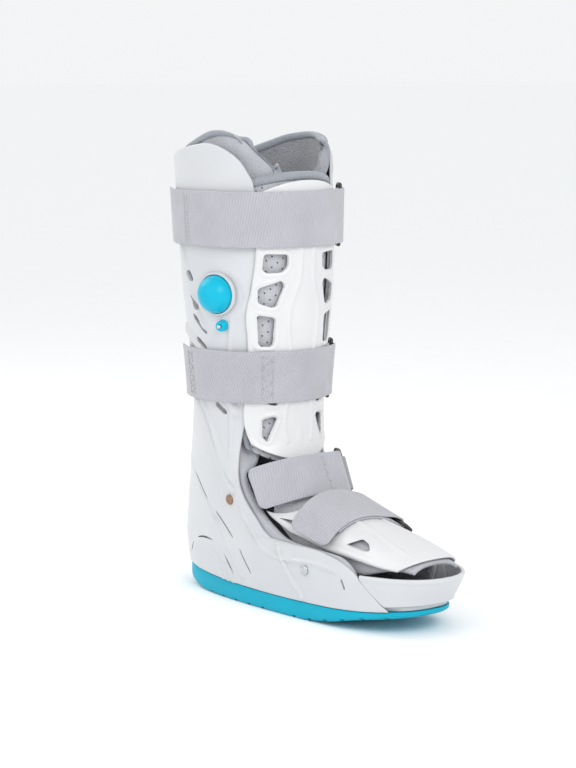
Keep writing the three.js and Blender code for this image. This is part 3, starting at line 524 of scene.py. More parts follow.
def metalMaterial(name, spec):
    material, tree, shader = newMaterial(name)
    skin = useGroup(tree, "moulded", "Object")
    tint = addRange(tree, skin.outputs["Cloud"], 0.3, 0.7, 0, 1)
    tree.links.new(addMix(tree, tint, spec["color"], spec["shade"]), shader.inputs["Base Color"])
    rough = addRange(tree, skin.outputs["Grain"], 0.3, 0.7, spec["rough"], spec["rough"] + 0.15)
    tree.links.new(rough, shader.inputs["Roughness"])
    shader.inputs["Metallic"].default_value = spec["metal"]
    addBump(tree, shader, skin.outputs["Grain"], 0.00008)
    return material


# Finishes: linear colours, roughness and bump heights in metres.
shellFinish = {
    "color": (0.57, 0.58, 0.6), "shade": (0.61, 0.62, 0.635), "rough": 0.3, "grain": 0.00006,
    "coat": 0.15, "ior": 1.49,
}
panelFinish = {
    "color": (0.66, 0.665, 0.675), "shade": (0.7, 0.705, 0.71), "rough": 0.3, "grain": 0.00005,
    "coat": 0.15, "ior": 1.49,
}
soleFinish = {
    "color": (0.0, 0.36, 0.5), "shade": (0.0, 0.4, 0.55), "rough": 0.45, "grain": 0.00015,
    "coat": 0.0, "ior": 1.33,
}
pumpFinish = {
    "color": (0.0, 0.42, 0.6), "shade": (0.0, 0.46, 0.65), "rough": 0.26, "grain": 0.00006,
    "coat": 0.0, "ior": 1.33,
}
strapFinish = {
    "color": (0.49, 0.49, 0.53), "shade": (0.35, 0.35, 0.385), "light": (0.58, 0.58, 0.62),
    "fuzz": 0.5,
}
keeperFinish = {
    "color": (0.36, 0.37, 0.4), "shade": (0.28, 0.29, 0.32), "light": (0.46, 0.47, 0.5),
    "fuzz": 0.4,
}
threadFinish = {
    "color": (0.46, 0.46, 0.49), "shade": (0.4, 0.4, 0.43), "light": (0.54, 0.54, 0.57),
    "fuzz": 0.2,
}
bindingFinish = {
    "color": (0.33, 0.35, 0.39), "shade": (0.27, 0.29, 0.33), "light": (0.42, 0.44, 0.48),
    "fuzz": 0.4,
}
# The darkest colour of a knit finish is painted shade for its perforation holes.
linerFinish = {
    "color": (0.42, 0.43, 0.46), "shade": (0.36, 0.37, 0.4), "light": (0.52, 0.53, 0.56),
    "holeShade": (0.12, 0.12, 0.13), "pile": 0.5, "nap": 1.0, "bump": 0.0003, "holes": False,
}
tongueFinish = {
    **linerFinish, "color": (0.52, 0.53, 0.56), "shade": (0.47, 0.48, 0.51),
    "light": (0.6, 0.61, 0.64), "holes": True, "space": "UV",
}
fleeceFinish = {
    "color": (0.3, 0.305, 0.33), "shade": (0.24, 0.245, 0.27), "light": (0.42, 0.425, 0.45),
    "holeShade": (0.05, 0.05, 0.05), "pile": 0.7, "nap": 2.4, "bump": 0.0005, "holes": False,
}
insoleFinish = {
    **fleeceFinish, "color": (0.34, 0.35, 0.37), "shade": (0.28, 0.29, 0.31),
    "light": (0.44, 0.45, 0.47),
}
ringFinish = {
    "color": (0.075, 0.068, 0.064), "shade": (0.055, 0.05, 0.048), "rough": 0.32, "metal": 0.55,
}
bronzeFinish = {"color": (0.36, 0.22, 0.14), "shade": (0.28, 0.17, 0.11), "rough": 0.28, "metal": 1.0}
steelFinish = {"color": (0.62, 0.63, 0.64), "shade": (0.52, 0.53, 0.54), "rough": 0.22, "metal": 1.0}
floorFinish = {
    "color": (0.975, 0.98, 0.985), "shade": (0.985, 0.99, 0.995), "rough": 0.8, "grain": 0.00002,
    "coat": 0.0, "ior": 1.05,
}

shellPlastic = plasticMaterial("shellPlastic", shellFinish)
panelPlastic = plasticMaterial("panelPlastic", panelFinish)
soleRubber = plasticMaterial("soleRubber", soleFinish)
pumpRubber = plasticMaterial("pumpRubber", pumpFinish)
strapWebbing = webbingMaterial("strapWebbing", strapFinish)
keeperWebbing = webbingMaterial("keeperWebbing", keeperFinish)
stitchThread = webbingMaterial("stitchThread", threadFinish)
bindingTape = webbingMaterial("bindingTape", bindingFinish)
linerKnit = foamMaterial("linerKnit", linerFinish)
tongueKnit = foamMaterial("tongueKnit", tongueFinish)
innerFleece = foamMaterial("innerFleece", fleeceFinish)
insoleFleece = foamMaterial("insoleFleece", insoleFinish)
ringPaint = metalMaterial("ringPaint", ringFinish)
bronze = metalMaterial("bronze", bronzeFinish)
steel = metalMaterial("steel", steelFinish)
print("materials made")


# Rear shell: outline from the toe seam over the foot and up the calf, as along and height shares.
shellOutline = [
    (0.379, 0.048), (0.373, 0.055), (0.317, 0.112), (0.273, 0.135), (0.224, 0.147), (0.148, 0.155),
    (0.032, 0.151), (-0.041, 0.165), (-0.090, 0.196), (-0.146, 0.245), (-0.160, 0.295), (-0.165, 0.358),
    (-0.147, 0.425), (-0.143, 0.545), (-0.139, 0.620), (-0.123, 0.690), (-0.113, 0.755), (-0.116, 0.880),
    (-0.128, 0.915), (-0.143, 0.938), (-0.169, 0.957), (-0.203, 0.970), (-0.239, 0.974), (-0.295, 0.968),
    (-0.364, 0.957), (-0.418, 0.943), (-0.462, 0.922), (-0.512, 0.914),
]
shellCorner = 18
shellSpec = {
    "columns": 250, "rows": 168, "width": 0.60, "height": 0.50, "rim": 0.0016,
    "wall": shellWall, "facing": -1,
    "blur": 3,
}

# Raised lines on the shell's sides: along and height shares, half width and height in metres.
shellLines = [
    ([(-0.42, 0.84), (-0.36, 0.76), (-0.325, 0.70), (-0.300, 0.64), (-0.262, 0.585)], 0.0040, 0.0024),
    ([(-0.40, 0.58), (-0.330, 0.56), (-0.268, 0.520), (-0.220, 0.470), (-0.180, 0.405)], 0.0044, 0.00288),
    ([(-0.40, 0.47), (-0.345, 0.44), (-0.290, 0.385), (-0.240, 0.310), (-0.185, 0.240)], 0.0044, 0.00288),
    ([(-0.300, 0.43), (-0.262, 0.38), (-0.225, 0.31), (-0.180, 0.262)], 0.0036, 0.00216),
    ([(-0.178, 0.60), (-0.190, 0.50), (-0.192, 0.40), (-0.188, 0.32)], 0.0036, 0.00192),
    ([(-0.41, 0.290), (-0.36, 0.235), (-0.29, 0.185), (-0.22, 0.140), (-0.15, 0.060)], 0.0024, 0.00144),
    ([(0.011, 0.151), (0.060, 0.096), (0.109, 0.045)], 0.0024, 0.00288),
    ([(-0.148, 0.205), (-0.09, 0.158), (-0.03, 0.128), (0.06, 0.124), (0.16, 0.128), (0.24, 0.122)],
     0.0028, 0.00192),
]

# Concentric arcs on the heel: raised ribs and thin slots round one middle, angles in degrees.
heelMiddle = (-0.315 * bootLength, 0.020 * bootHeight)
heelRibs = {"radii": (0.042, 0.034, 0.026), "halfWidth": 0.0034, "height": 0.0012}
heelSlots = {"radius": 0.0465, "width": 0.0020, "spans": [(128, 148), (75, 112), (22, 48)]}

# Places on the shell's side, as along and height shares.
bulbPlace = (-0.208, 0.660)
valvePlace = (-0.196, 0.594)
ankleRivet = (-0.194, 0.221)
toeRivet = (0.126, 0.110)


def shellRelief(points, s, t):
    x, z = points[..., 0], points[..., 2]
    onSide = smooth(0.2, 0.4, np.abs(points[..., 1]) / calfWidth)
    lift = np.zeros(x.shape)
    for corners, halfWidth, height in shellLines:
        line = smoothPath(np.asarray(corners) * (bootLength, bootHeight), np.linspace(0, 1, 24))
        lift = np.maximum(lift, raised(lineDistance(x, z, line), halfWidth, height))
    centre = (bulbPlace[0] * bootLength, bulbPlace[1] * bootHeight)
    fromBulb = np.hypot(x - centre[0], z - centre[1])
    boss = raised(np.abs(fromBulb - 0.025), 0.004, 0.0011)
    fromHeel = np.hypot(x - heelMiddle[0], z - heelMiddle[1])
    for radius in heelRibs["radii"]:
        rib = raised(np.abs(fromHeel - radius), heelRibs["halfWidth"], heelRibs["height"])
        boss = np.maximum(boss, rib)
    return np.maximum(lift, boss) * onSide


def shellInset(angle, height):
    return shellWall / 2 + 0 * angle


shellSurface = wrapSurface(shellOutline, shellCorner, shellInset, seatGap)
rearShell = wallPiece("rearShell", shellSurface, shellSpec, [shellPlastic], shellRelief)
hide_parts("rear_shell")


# Cuts prisms with the given corners through a piece, from one depth to another.
def cutThrough(obj, prisms, axis):
    mesh = bmesh.new()
    for corners, start, depth in prisms:
        if axis == "y":
            spots = [(x, start, z) for x, z in corners]
        else:
            spots = [(start, y, z) for y, z in corners]
        face = mesh.faces.new([mesh.verts.new(spot) for spot in spots])
        made = bmesh.ops.extrude_face_region(mesh, geom=[face], use_keep_orig=True)["geom"]
        shift = (0, depth, 0) if axis == "y" else (depth, 0, 0)
        verts = [item for item in made if isinstance(item, bmesh.types.BMVert)]
        bmesh.ops.translate(mesh, verts=verts, vec=shift)
    bmesh.ops.recalc_face_normals(mesh, faces=mesh.faces[:])
    data = bpy.data.meshes.new("cutter")
    mesh.to_mesh(data)
    mesh.free()
    cutter = bpy.data.objects.new("cutter", data)
    bpy.context.scene.collection.objects.link(cutter)
    modifier = obj.modifiers.new("cut", "BOOLEAN")
    modifier.operation = "DIFFERENCE"
    modifier.solver = "EXACT"
    modifier.object = cutter
    graph = bpy.context.evaluated_depsgraph_get()
    result = bpy.data.meshes.new_from_object(obj.evaluated_get(graph))
    obj.modifiers.clear()
    obj.data = result
    result.set_sharp_from_angle(angle=math.radians(48))
    bpy.data.objects.remove(cutter)


# Corners of a straight slot with rounded ends.
def slotCorners(fromSpot, toSpot, width):
    start = np.array(fromSpot) * (bootLength, bootHeight)
    run = np.array(toSpot) * (bootLength, bootHeight) - start
    side = np.array([-run[1], run[0]]) / np.hypot(*run) * width / 2
    ends = [(0, 0), (0.06, -0.6), (0.15, -1), (0.85, -1), (0.94, -0.6), (1, 0)]
    ends += [(0.94, 0.6), (0.85, 1), (0.15, 1), (0.06, 0.6)]
    return [tuple(start + run * share + side * across) for share, across in ends]


# Slots through both sides of the shell: two ends and a width.
shellSlots = [
    ((-0.325, 0.704), (-0.305, 0.682), 0.0046), ((-0.322, 0.656), (-0.281, 0.622), 0.0046),
    ((-0.315, 0.612), (-0.255, 0.572), 0.0046), ((-0.305, 0.562), (-0.262, 0.540), 0.0046),
    ((-0.240, 0.426), (-0.203, 0.404), 0.0046), ((-0.375, 0.261), (-0.309, 0.206), 0.0018),
    ((-0.271, 0.188), (-0.178, 0.139), 0.0018), ((-0.148, 0.121), (-0.105, 0.070), 0.0018),
    ((0.262, 0.108), (0.270, 0.085), 0.0024),
]


# Corners of a slot that follows a heel rib and narrows to its ends.
def arcCorners(start, end):
    turns = np.radians(np.linspace(start, end, 14))
    widths = heelSlots["width"] * np.sin(math.pi * np.linspace(0.08, 0.92, 14))
    outer, inner = [], []
    for turn, width in zip(turns, widths):
        way = np.array([math.cos(turn), math.sin(turn)])
        outer.append(tuple(heelMiddle + heelSlots["radius"] * way))
        inner.append(tuple(heelMiddle + (heelSlots["radius"] - width) * way))
    return outer + inner[::-1]


sideDepths = [(-0.09, 0.065), (0.025, 0.065)]  # start and depth of the cuts through each side
sideSlots = [arcCorners(*span) for span in heelSlots["spans"]]
sideSlots += [slotCorners(*slot) for slot in shellSlots]
sideCuts = [(corners, *depth) for corners in sideSlots for depth in sideDepths]
cutThrough(rearShell, sideCuts, "y")
print("rear shell made")

# Toe guard round the toe, above the plate.
seamRun = np.array(shellOutline[:3]) * (bootLength, bootHeight)
guardTop = 0.121 * bootHeight
guardStart = 0.365 * bootLength


def guardSurface(s, t):
    low = float(soleTop(guardStart)) + plateWall + 2 * seatGap
    edgeZ = low + (guardTop - low) * t[:, 0]
    edgeX = np.interp(edgeZ, seamRun[:, 1], seamRun[:, 0]) + guardSeam
    near, far = np.zeros_like(edgeX), np.full_like(edgeX, math.pi / 2)
    for _ in range(30):
        middle = (near + far) / 2
        isAhead = legPoint(middle, edgeZ, guardWall / 2)[..., 0] > edgeX
        near, far = np.where(isAhead, middle, near), np.where(isAhead, far, middle)
    angle = (2 * s - 1) * near[:, None]
    rough = legPoint(angle, edgeZ[:, None], guardWall / 2)
    floorLine = soleTop(rough[..., 0]) + plateWall + 2 * seatGap
    height = floorLine + (guardTop - floorLine) * t
    return legPoint(angle, height, guardWall / 2)


def guardRelief(points, s, t):
    return raised(np.abs(points[..., 2] - 0.117 * bootHeight), 0.0035, 0.0009)


guardSpec = {
    "columns": 150, "rows": 34, "width": 0.20, "height": 0.03, "rim": 0.0014,
    "wall": guardWall, "facing": 1,
}
toeGuard = wallPiece("toeGuard", guardSurface, guardSpec, [shellPlastic], guardRelief)
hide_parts("toe_guard")
print("toe guard made")


def panelEdgeAt(height):
    return np.radians(tableValue(panelEdges, "height", height / bootHeight, "edge"))


frontEnds = {"low": 0.308, "lowSides": 0.035, "high": 0.898, "highSides": 0.028}
ovalBoss = {"height": 0.355, "halfWidth": 0.0035, "halfHeight": 0.0078, "rise": 0.0008}


# Front panel over the shin, with raised ridges, a plain oval boss and cut vents.
def frontPanelSurface(s, t):
    side = 2 * s - 1
    low = bootHeight * (frontEnds["low"] + frontEnds["lowSides"] * np.abs(side) ** 3)
    high = bootHeight * (frontEnds["high"] - frontEnds["highSides"] * side * side)
    height = low + (high - low) * t
    return legPoint(side * panelEdgeAt(height), height, -(panelLift + panelWall / 2))


# Vents of the panel's near half, as across and height shares.
panelVents = [
    [(-0.145, 0.744), (-0.305, 0.746), (-0.312, 0.712), (-0.285, 0.705), (-0.185, 0.706), (-0.147, 0.718)],
    [(-0.190, 0.690), (-0.330, 0.674), (-0.326, 0.642), (-0.240, 0.632), (-0.210, 0.635), (-0.160, 0.680)],
    [
        (-0.325, 0.614), (-0.312, 0.617), (-0.228, 0.612), (-0.210, 0.607), (-0.214, 0.555), (-0.230, 0.550),
        (-0.292, 0.550), (-0.308, 0.557),
    ],
    [(-0.160, 0.455), (-0.245, 0.452), (-0.245, 0.428), (-0.170, 0.422)],
    [(-0.185, 0.400), (-0.262, 0.395), (-0.262, 0.356), (-0.244, 0.349), (-0.228, 0.349), (-0.165, 0.395)],
]
panelRidges = [
    ([(0.050, 0.78), (0.052, 0.745), (0.060, 0.690), (0.112, 0.640), (0.124, 0.597), (0.100, 0.538),
      (0.09, 0.50)], 0.0030, 0.00165),
    ([(0.085, 0.455), (0.110, 0.42), (0.120, 0.38), (0.105, 0.345)], 0.0030, 0.00135),
]


# Closed outline with its corners rounded.
def roundedCorners(corners, radius):
    out = []
    count = len(corners)
    for index, corner in enumerate(corners):
        here = np.array(corner)
        before = np.array(corners[index - 1]) - here
        after = np.array(corners[(index + 1) % count]) - here
        cut = min(radius, 0.42 * np.hypot(*before), 0.42 * np.hypot(*after))
        first = here + before / np.hypot(*before) * cut
        last = here + after / np.hypot(*after) * cut
        for t in (0, 0.33, 0.67, 1):
            out.append(tuple((1 - t) ** 2 * first + 2 * t * (1 - t) * here + t * t * last))
    return out


ventCorners = []
for vent in panelVents:
    corners = [(across * calfWidth, up * bootHeight) for across, up in vent]
    ventCorners.append(roundedCorners(corners, 0.0035))


def panelRelief(points, s, t):
    y, z = np.abs(points[..., 1]), points[..., 2]
    lift = np.zeros(y.shape)
    for corners, halfWidth, height in panelRidges:
        line = smoothPath(np.asarray(corners) * (calfWidth, bootHeight), np.linspace(0, 1, 24))
        lift = np.maximum(lift, raised(lineDistance(y, z, line), halfWidth, height))
    for corners in ventCorners:
        ring = [(-across, up) for across, up in corners]
        distance = lineDistance(y, z, [*ring, ring[0]])
        lift = np.maximum(lift, raised(np.abs(distance - 0.0022), 0.0022, 0.0008))
        lift = lift - raised(distance, 0.0016, 0.0010)
    fromOval = (z - ovalBoss["height"] * bootHeight) / ovalBoss["halfHeight"]
    boss = np.hypot(points[..., 1] / ovalBoss["halfWidth"], fromOval)
    lift = lift + ovalBoss["rise"] * (1 - smooth(0.75, 1.1, boss))
    edge = np.minimum(s, 1 - s) * 0.10
    return lift + raised(np.abs(edge - 0.0030), 0.0030, 0.0006)


frontSpec = {
    "columns": 104, "rows": 230, "width": 0.11, "height": 0.26, "rim": 0.0014,
    "wall": panelWall, "facing": 1,
}
frontPanel = wallPiece("frontPanel", frontPanelSurface, frontSpec, [panelPlastic], panelRelief)
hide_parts("front_panel")
frontCuts = []
for corners in ventCorners:
    for side in (1, -1):
        frontCuts.append(([(side * across, up) for across, up in corners], -0.075, 0.09))
cutThrough(frontPanel, frontCuts, "x")
print("front panel made")

# Instep panel over the foot, from the toes to the ankle.
instepEnds = {"toe": 0.0, "toeSides": 0.070, "shin": 0.700, "shinSides": 0.076, "turn": 67}


def instepSurface(s, t):
    side = 2 * s - 1
    toe = instepEnds["toe"] + instepEnds["toeSides"] * side * side
    shin = instepEnds["shin"] + instepEnds["shinSides"] * side * side
    station = toe + (shin - toe) * t
    return instepPoint(station, side * math.radians(instepEnds["turn"]), -panelWall / 2)


def instepRelief(points, s, t):
    edge = np.minimum(s, 1 - s) * 0.11
    lift = raised(np.abs(edge - 0.0032), 0.0030, 0.0007)
    spread = np.abs(2 * s - 1)
    ridge = raised(np.abs(spread - 0.34 - 0.10 * np.cos(5 * t)) * 0.055, 0.0035, 0.0010)
    return np.maximum(lift, ridge * smooth(0.03, 0.12, t))


instepSpec = {
    "columns": 96, "rows": 160, "width": 0.12, "height": 0.18, "rim": 0.0014,
    "wall": panelWall, "facing": 1,
}
instepPanel = wallPiece("instepPanel", instepSurface, instepSpec, [panelPlastic], instepRelief)
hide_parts("instep_panel")
instepVents = [
    [(-0.035, 0.196), (0.065, 0.192), (0.030, 0.180)],
    [(0.212, 0.166), (0.252, 0.180), (0.282, 0.173), (0.299, 0.162), (0.282, 0.159)],
]
instepCuts = []
for vent in instepVents:
    corners = roundedCorners([(along * bootLength, up * bootHeight) for along, up in vent], 0.0025)
    instepCuts.append((corners, -0.12, 0.24))
cutThrough(instepPanel, instepCuts, "y")
print("instep panel made")

# Padded liners: the calf liner wraps round inside the shell, its edge bound with tape.
linerOutline = [
    (0.292, 0.062), (0.295, 0.090), (0.292, 0.125), (0.236, 0.152), (0.148, 0.156), (0.034, 0.160),
    (-0.034, 0.180), (-0.082, 0.206), (-0.136, 0.255), (-0.148, 0.300), (-0.150, 0.350), (-0.124, 0.420),
    (-0.120, 0.640), (-0.116, 0.860), (-0.111, 0.885), (-0.113, 0.906), (-0.124, 0.934), (-0.142, 0.957),
    (-0.165, 0.979), (-0.190, 0.993), (-0.228, 1.000), (-0.262, 0.996), (-0.310, 0.980), (-0.360, 0.964),
    (-0.410, 0.949), (-0.460, 0.936), (-0.505, 0.929),
]
linerCorner = 15


# Depth of the liner's middle: tucked behind the tongue in the leg, leaning inwards at the top.
def linerInset(angle, height):
    fromFront = np.degrees(np.abs(np.arctan2(np.sin(angle), np.cos(angle))))
    tuck = (tongueGap - linerGap + tongueWall + wingGap) * (1 - smooth(62, 78, fromFront))
    share = np.asarray(height) / bootHeight
    onFarSide = smooth(0.1, 0.4, np.sin(angle))
    lean = lobeLean * smooth(0.88, 1, share) * (1 - 0.8 * onFarSide)
    inLeg = smooth(0.20, 0.30, share) * (1 - smooth(0.89, 0.97 - 0.035 * onFarSide, share))
    return shellWall + linerGap + tuck * inLeg + lean + linerWall / 2


# Soft waves over the padding.
def quilted(points, s, t):
    x, z = points[..., 0], points[..., 2]
    waves = np.sin(x * 190 + 2 * np.sin(z * 60)) * np.sin(z * 150 + 1.3 * np.sin(x * 70))
    return 0.0004 * waves * smooth(0, 0.08, np.minimum(s, 1 - s))


linerSpec = {
    "columns": 180, "rows": 144, "width": 0.50, "height": 0.48, "rim": 0.0042,
    "wall": linerWall, "facing": -1,
    "blur": 8,
}
linerSurface = wrapSurface(linerOutline, linerCorner, linerInset, plateWall + 2 * seatGap, 0.007)
calfLiner = wallPiece("calfLiner", linerSurface, linerSpec, [linerKnit, innerFleece], quilted)
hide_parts("calf_liner")
print("calf liner made")


tongueEnds = {"low": 0.300, "lowSides": 0.030, "high": 0.914, "highSides": 0.028, "turn": 58}


def tongueSurface(s, t):
    side = 2 * s - 1
    low = bootHeight * (tongueEnds["low"] + tongueEnds["lowSides"] * side * side)
    high = bootHeight * (tongueEnds["high"] - tongueEnds["highSides"] * side * side)
    inset = shellWall + tongueGap + tongueWall / 2
    return legPoint(side * math.radians(tongueEnds["turn"]), low + (high - low) * t, inset)


tongueSpec = {
    "columns": 70, "rows": 130, "width": 0.12, "height": 0.26, "rim": 0.0030,
    "wall": tongueWall, "facing": 1,
}
tongueLiner = wallPiece("tongueLiner", tongueSurface, tongueSpec, [tongueKnit, innerFleece])
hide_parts("tongue_liner")


flapEnds = {"toe": 0.010, "shin": 0.860, "shinSides": 0.100}


def flapSurface(s, t):
    side = 2 * s - 1
    toe = flapEnds["toe"]
    shin = flapEnds["shin"] - flapEnds["shinSides"] * side * side
    station = toe + (shin - toe) * t
    edge = 60 + 24 * smooth(0.05, 0.30, station) - 22 * smooth(0.66, 0.80, station)
    return instepPoint(station, side * np.radians(edge), -(panelWall + flapGap + flapWall / 2))


flapSpec = {
    "columns": 80, "rows": 110, "width": 0.13, "height": 0.20, "rim": 0.0028,
    "wall": flapWall, "facing": 1,
}
footLiner = wallPiece("footLiner", flapSurface, flapSpec, [linerKnit, innerFleece])
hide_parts("foot_liner")
print("tongue and flap made")


# Tube of oval or squarer section along a line, from a grid whose edges are joined.
def tubePiece(name, centres, sideways, upwards, spec, materials):
    steps, sides = len(centres) - (0 if spec["closed"] else 1), spec["sides"]
    mesh = bmesh.new()
    bmesh.ops.create_grid(mesh, x_segments=steps, y_segments=sides, size=1)
    uvLayer = mesh.loops.layers.uv.new("lengths")
    run = np.concatenate([[0], np.cumsum(np.linalg.norm(np.diff(centres, axis=0), axis=1))])
    cells = {}
    for vert in mesh.verts:
        column = round((vert.co.x + 1) / 2 * steps)
        row = round((vert.co.y + 1) / 2 * sides)
        cells[vert] = (column, row)
    for face in mesh.faces:
        face.smooth = True
        for loop in face.loops:
            column, row = cells[loop.vert]
            loop[uvLayer].uv = (row / sides * 2 * math.pi * spec["across"], run[min(column, len(run) - 1)])
    for vert, (column, row) in cells.items():
        step = column % len(centres)
        turn = 2 * math.pi * row / sides
        across = math.copysign(abs(math.cos(turn)) ** spec["power"], math.cos(turn)) * spec["across"]
        up = math.copysign(abs(math.sin(turn)) ** spec["power"], math.sin(turn)) * spec["up"]
        vert.co = centres[step] + sideways[step] * across + upwards[step] * up
    bmesh.ops.remove_doubles(mesh, verts=mesh.verts[:], dist=1e-6)
    bmesh.ops.holes_fill(mesh, edges=[edge for edge in mesh.edges if edge.is_boundary], sides=0)
    bmesh.ops.recalc_face_normals(mesh, faces=mesh.faces[:])
    return addObject(name, mesh, materials)


tapeSpec = {"steps": 160, "passes": 5, "proud": 0.0017, "half": 0.0042, "inwards": 0.0034, "sides": 20}


# Bound edge: tape over the rim of a padded wall, along its sides and top.
def edgeBinding(name, surface, spec, reach):
    shares = np.linspace(0, 1, tapeSpec["steps"] + 1)
    s, t = np.meshgrid(shares, shares)
    grid = surface(s, t)
    normal = gridNormals(grid, spec["facing"], tapeSpec["passes"])
    low = round(reach * tapeSpec["steps"])
    lines = [
        (grid[low:, 0], normal[low:, 0], grid[low:, 1]),
        (grid[-1], normal[-1], grid[-2]),
        (grid[low:, -1][::-1], normal[low:, -1][::-1], grid[low:, -2][::-1]),
    ]
    centres = np.concatenate([line[0] for line in lines])
    normals = np.concatenate([line[1] for line in lines])
    inside = np.concatenate([line[2] for line in lines])
    keep = np.concatenate([[True], np.linalg.norm(np.diff(centres, axis=0), axis=1) > 2e-4])
    centres, normals = centres[keep], normals[keep]
    inwards = unitRows(inside[keep] - centres)
    inwards = unitRows(inwards - normals * np.sum(inwards * normals, axis=1, keepdims=True))
    for _ in range(tapeSpec["passes"]):
        centres[1:-1] = (centres[:-2] + 2 * centres[1:-1] + centres[2:]) / 4
        normals[1:-1] = unitRows(normals[:-2] + normals[1:-1] + normals[2:])
        inwards[1:-1] = unitRows(inwards[:-2] + inwards[1:-1] + inwards[2:])
    tape = {
        "sides": tapeSpec["sides"], "across": spec["wall"] / 2 + tapeSpec["proud"], "up": tapeSpec["half"],
        "power": 0.7, "closed": False,
    }
    centres = centres + inwards * tapeSpec["inwards"]
    return tubePiece(name, centres, normals, inwards, tape, [bindingTape])


calfBinding = edgeBinding("calfBinding", linerSurface, linerSpec, 0.62)
tongueBinding = edgeBinding("tongueBinding", tongueSurface, tongueSpec, 0)
print("bindings made")


# Level plate on the foot outline: a grid laid in rings round the middle, extruded to two faces.
def platePiece(name, inset, topAt, bottomAt, spec, materials):
    count = spec["count"]
    steps = 2 * rimSteps(count, 0.1, spec["rim"]) - 1
    u, v = np.meshgrid(steps, steps)
    radius = np.maximum(np.abs(u), np.abs(v))
    square = np.where(radius > 0, radius, 1)
    turn = np.arctan2(v / square, u / square)
    base = shellLevels["height"][0] * bootHeight
    rough = legPoint(turn, base, 0)
    outline = legPoint(turn, base, inset(rough[..., 0]) if callable(inset) else inset)
    middle = 0.01
    x = middle + (outline[..., 0] - middle) * radius
    y = outline[..., 1] * radius
    edge = (1 - radius) * 0.05
    roundOff = 1 - np.sqrt(1 - (1 - np.clip(edge / spec["rim"], 0, 1)) ** 2)
    top = topAt(x) - spec["topRound"] * roundOff + spec.get("crown", 0) * (1 - radius**2)
    bottom = bottomAt(x) + spec["bottomRound"] * roundOff
    mesh = bmesh.new()
    bmesh.ops.create_grid(mesh, x_segments=count, y_segments=count, size=1)
    made = bmesh.ops.extrude_face_region(mesh, geom=mesh.faces[:], use_keep_orig=True)["geom"]
    uppers = {item for item in made if isinstance(item, bmesh.types.BMVert)}
    for vert in mesh.verts:
        cell = (round((vert.co.y + 1) / 2 * count), round((vert.co.x + 1) / 2 * count))
        vert.co = (x[cell], y[cell], top[cell] if vert in uppers else bottom[cell])
    for face in mesh.faces:
        face.smooth = True
    bmesh.ops.recalc_face_normals(mesh, faces=mesh.faces[:])
    return addObject(name, mesh, materials)


soleSpec = {"count": 90, "rim": 0.0030, "topRound": 0.0008, "bottomRound": 0.0035}
outsole = platePiece("soleTread", 0, soleTop, soleBottom, soleSpec, [soleRubber])
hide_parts("outsole")
treadSpec = {"count": 7, "first": 0.012, "pitch": 0.021, "half": 0.002, "depth": 0.0022}
treadCuts = []
for index in range(treadSpec["count"]):
    for side in (-1, 1):
        middle = side * (treadSpec["first"] + (index + 0.5) * treadSpec["pitch"])
        top = float(soleBottom(middle)) + treadSpec["depth"]
        low = top - 0.006
        heelwards, toewards = middle - treadSpec["half"], middle + treadSpec["half"]
        corners = [(heelwards, low), (toewards, low), (toewards, top), (heelwards, top)]
        treadCuts.append((corners, -0.09, 0.18))
cutThrough(outsole, treadCuts, "y")


def plateInset(x):
    hidden = shellWall + 0.0013
    seamX = 0.385 * bootLength
    return hidden + (plateReveal - hidden) * smooth(seamX, seamX + 0.009, x)


def plateBottom(x):
    return soleTop(x) + seatGap


def plateTop(x):
    return soleTop(x) + seatGap + plateWall


plateSpec = {"count": 70, "rim": 0.0012, "topRound": 0.0006, "bottomRound": 0.0002}
footPlate = platePiece("footPlate", plateInset, plateTop, plateBottom, plateSpec, [shellPlastic])
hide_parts("foot_plate")


def insoleBottom(x):
    return soleTop(x) + plateWall + 2 * seatGap


def insoleTop(x):
    return insoleBottom(x) + insoleWall


insoleInset = shellWall + linerGap + linerWall + insoleMargin
insoleSpec = {"count": 72, "rim": 0.0050, "topRound": 0.0030, "bottomRound": 0.0010, "crown": -0.0008}
insole = platePiece("insolePad", insoleInset, insoleTop, insoleBottom, insoleSpec, [insoleFleece])
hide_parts("insole")
print("sole, plate and insole made")


# Path of a strap from its anchor round a ring's bar and back to its tail, as run and offset.
def foldedPath(spec, bar, lowAt, barOffset):
    way = 1 if bar > spec["anchor"] else -1
    turn = (strapThickness + ringWire) / 2 + layerGap
    layer = strapThickness + layerGap
    under = np.linspace(spec["anchor"], bar, 90)
    swing = np.linspace(-math.pi / 2, math.pi / 2, 18)[1:-1]
    over = np.linspace(bar, spec["tail"], 110)
    settle = smooth(0, 0.022, np.abs(over - bar))
    tailLift = spec.get("tailLift", 0) * smooth(0.020, 0, np.abs(over - spec["tail"]))
    run = np.concatenate([under, bar + way * turn * np.cos(swing), over])
    overOffset = (barOffset + turn) * (1 - settle) + (lowAt(over) + layer) * settle + tailLift
    offset = np.concatenate([lowAt(under), barOffset + turn * np.sin(swing), overOffset])
    length = np.concatenate([[0], np.cumsum(np.hypot(np.diff(run), np.diff(offset)))])

    def along(t):
        place = t * length[-1]
        return np.interp(place, length, run), np.interp(place, length, offset)

    return length[-1], along


# Places along a strap: how far round, how far out and how far across.
def legPlace(strap):
    middle = strap["height"] * bootHeight

    def place(run, offset, across):
        return legPoint(run / legRadius, middle + across, -offset)

    return place


def instepPlace(strap):
    def place(run, offset, across):
        angle = run / archRadius
        station = strap["station"] + strap["slant"] * angle
        ahead = instepPoint(station - 0.03, angle, offset)
        behind = instepPoint(station + 0.03, angle, offset)
        return (ahead + behind) / 2 + unitRows(ahead - behind) * np.asarray(across)[..., None]

    return place


# Offset of a strap's lowest layer, over the panel in front and over the shell elsewhere.
def legClear(run):
    angle = np.degrees(np.abs(run / legRadius))
    over = 1 - smooth(56, 84, angle)
    onPanel = panelLift + panelWall + layerGap
    return strapClear + (onPanel - strapClear) * over + strapThickness / 2


def instepClear(lift):
    def clearAt(run):
        return lift + strapThickness / 2 + 0 * run

    return clearAt


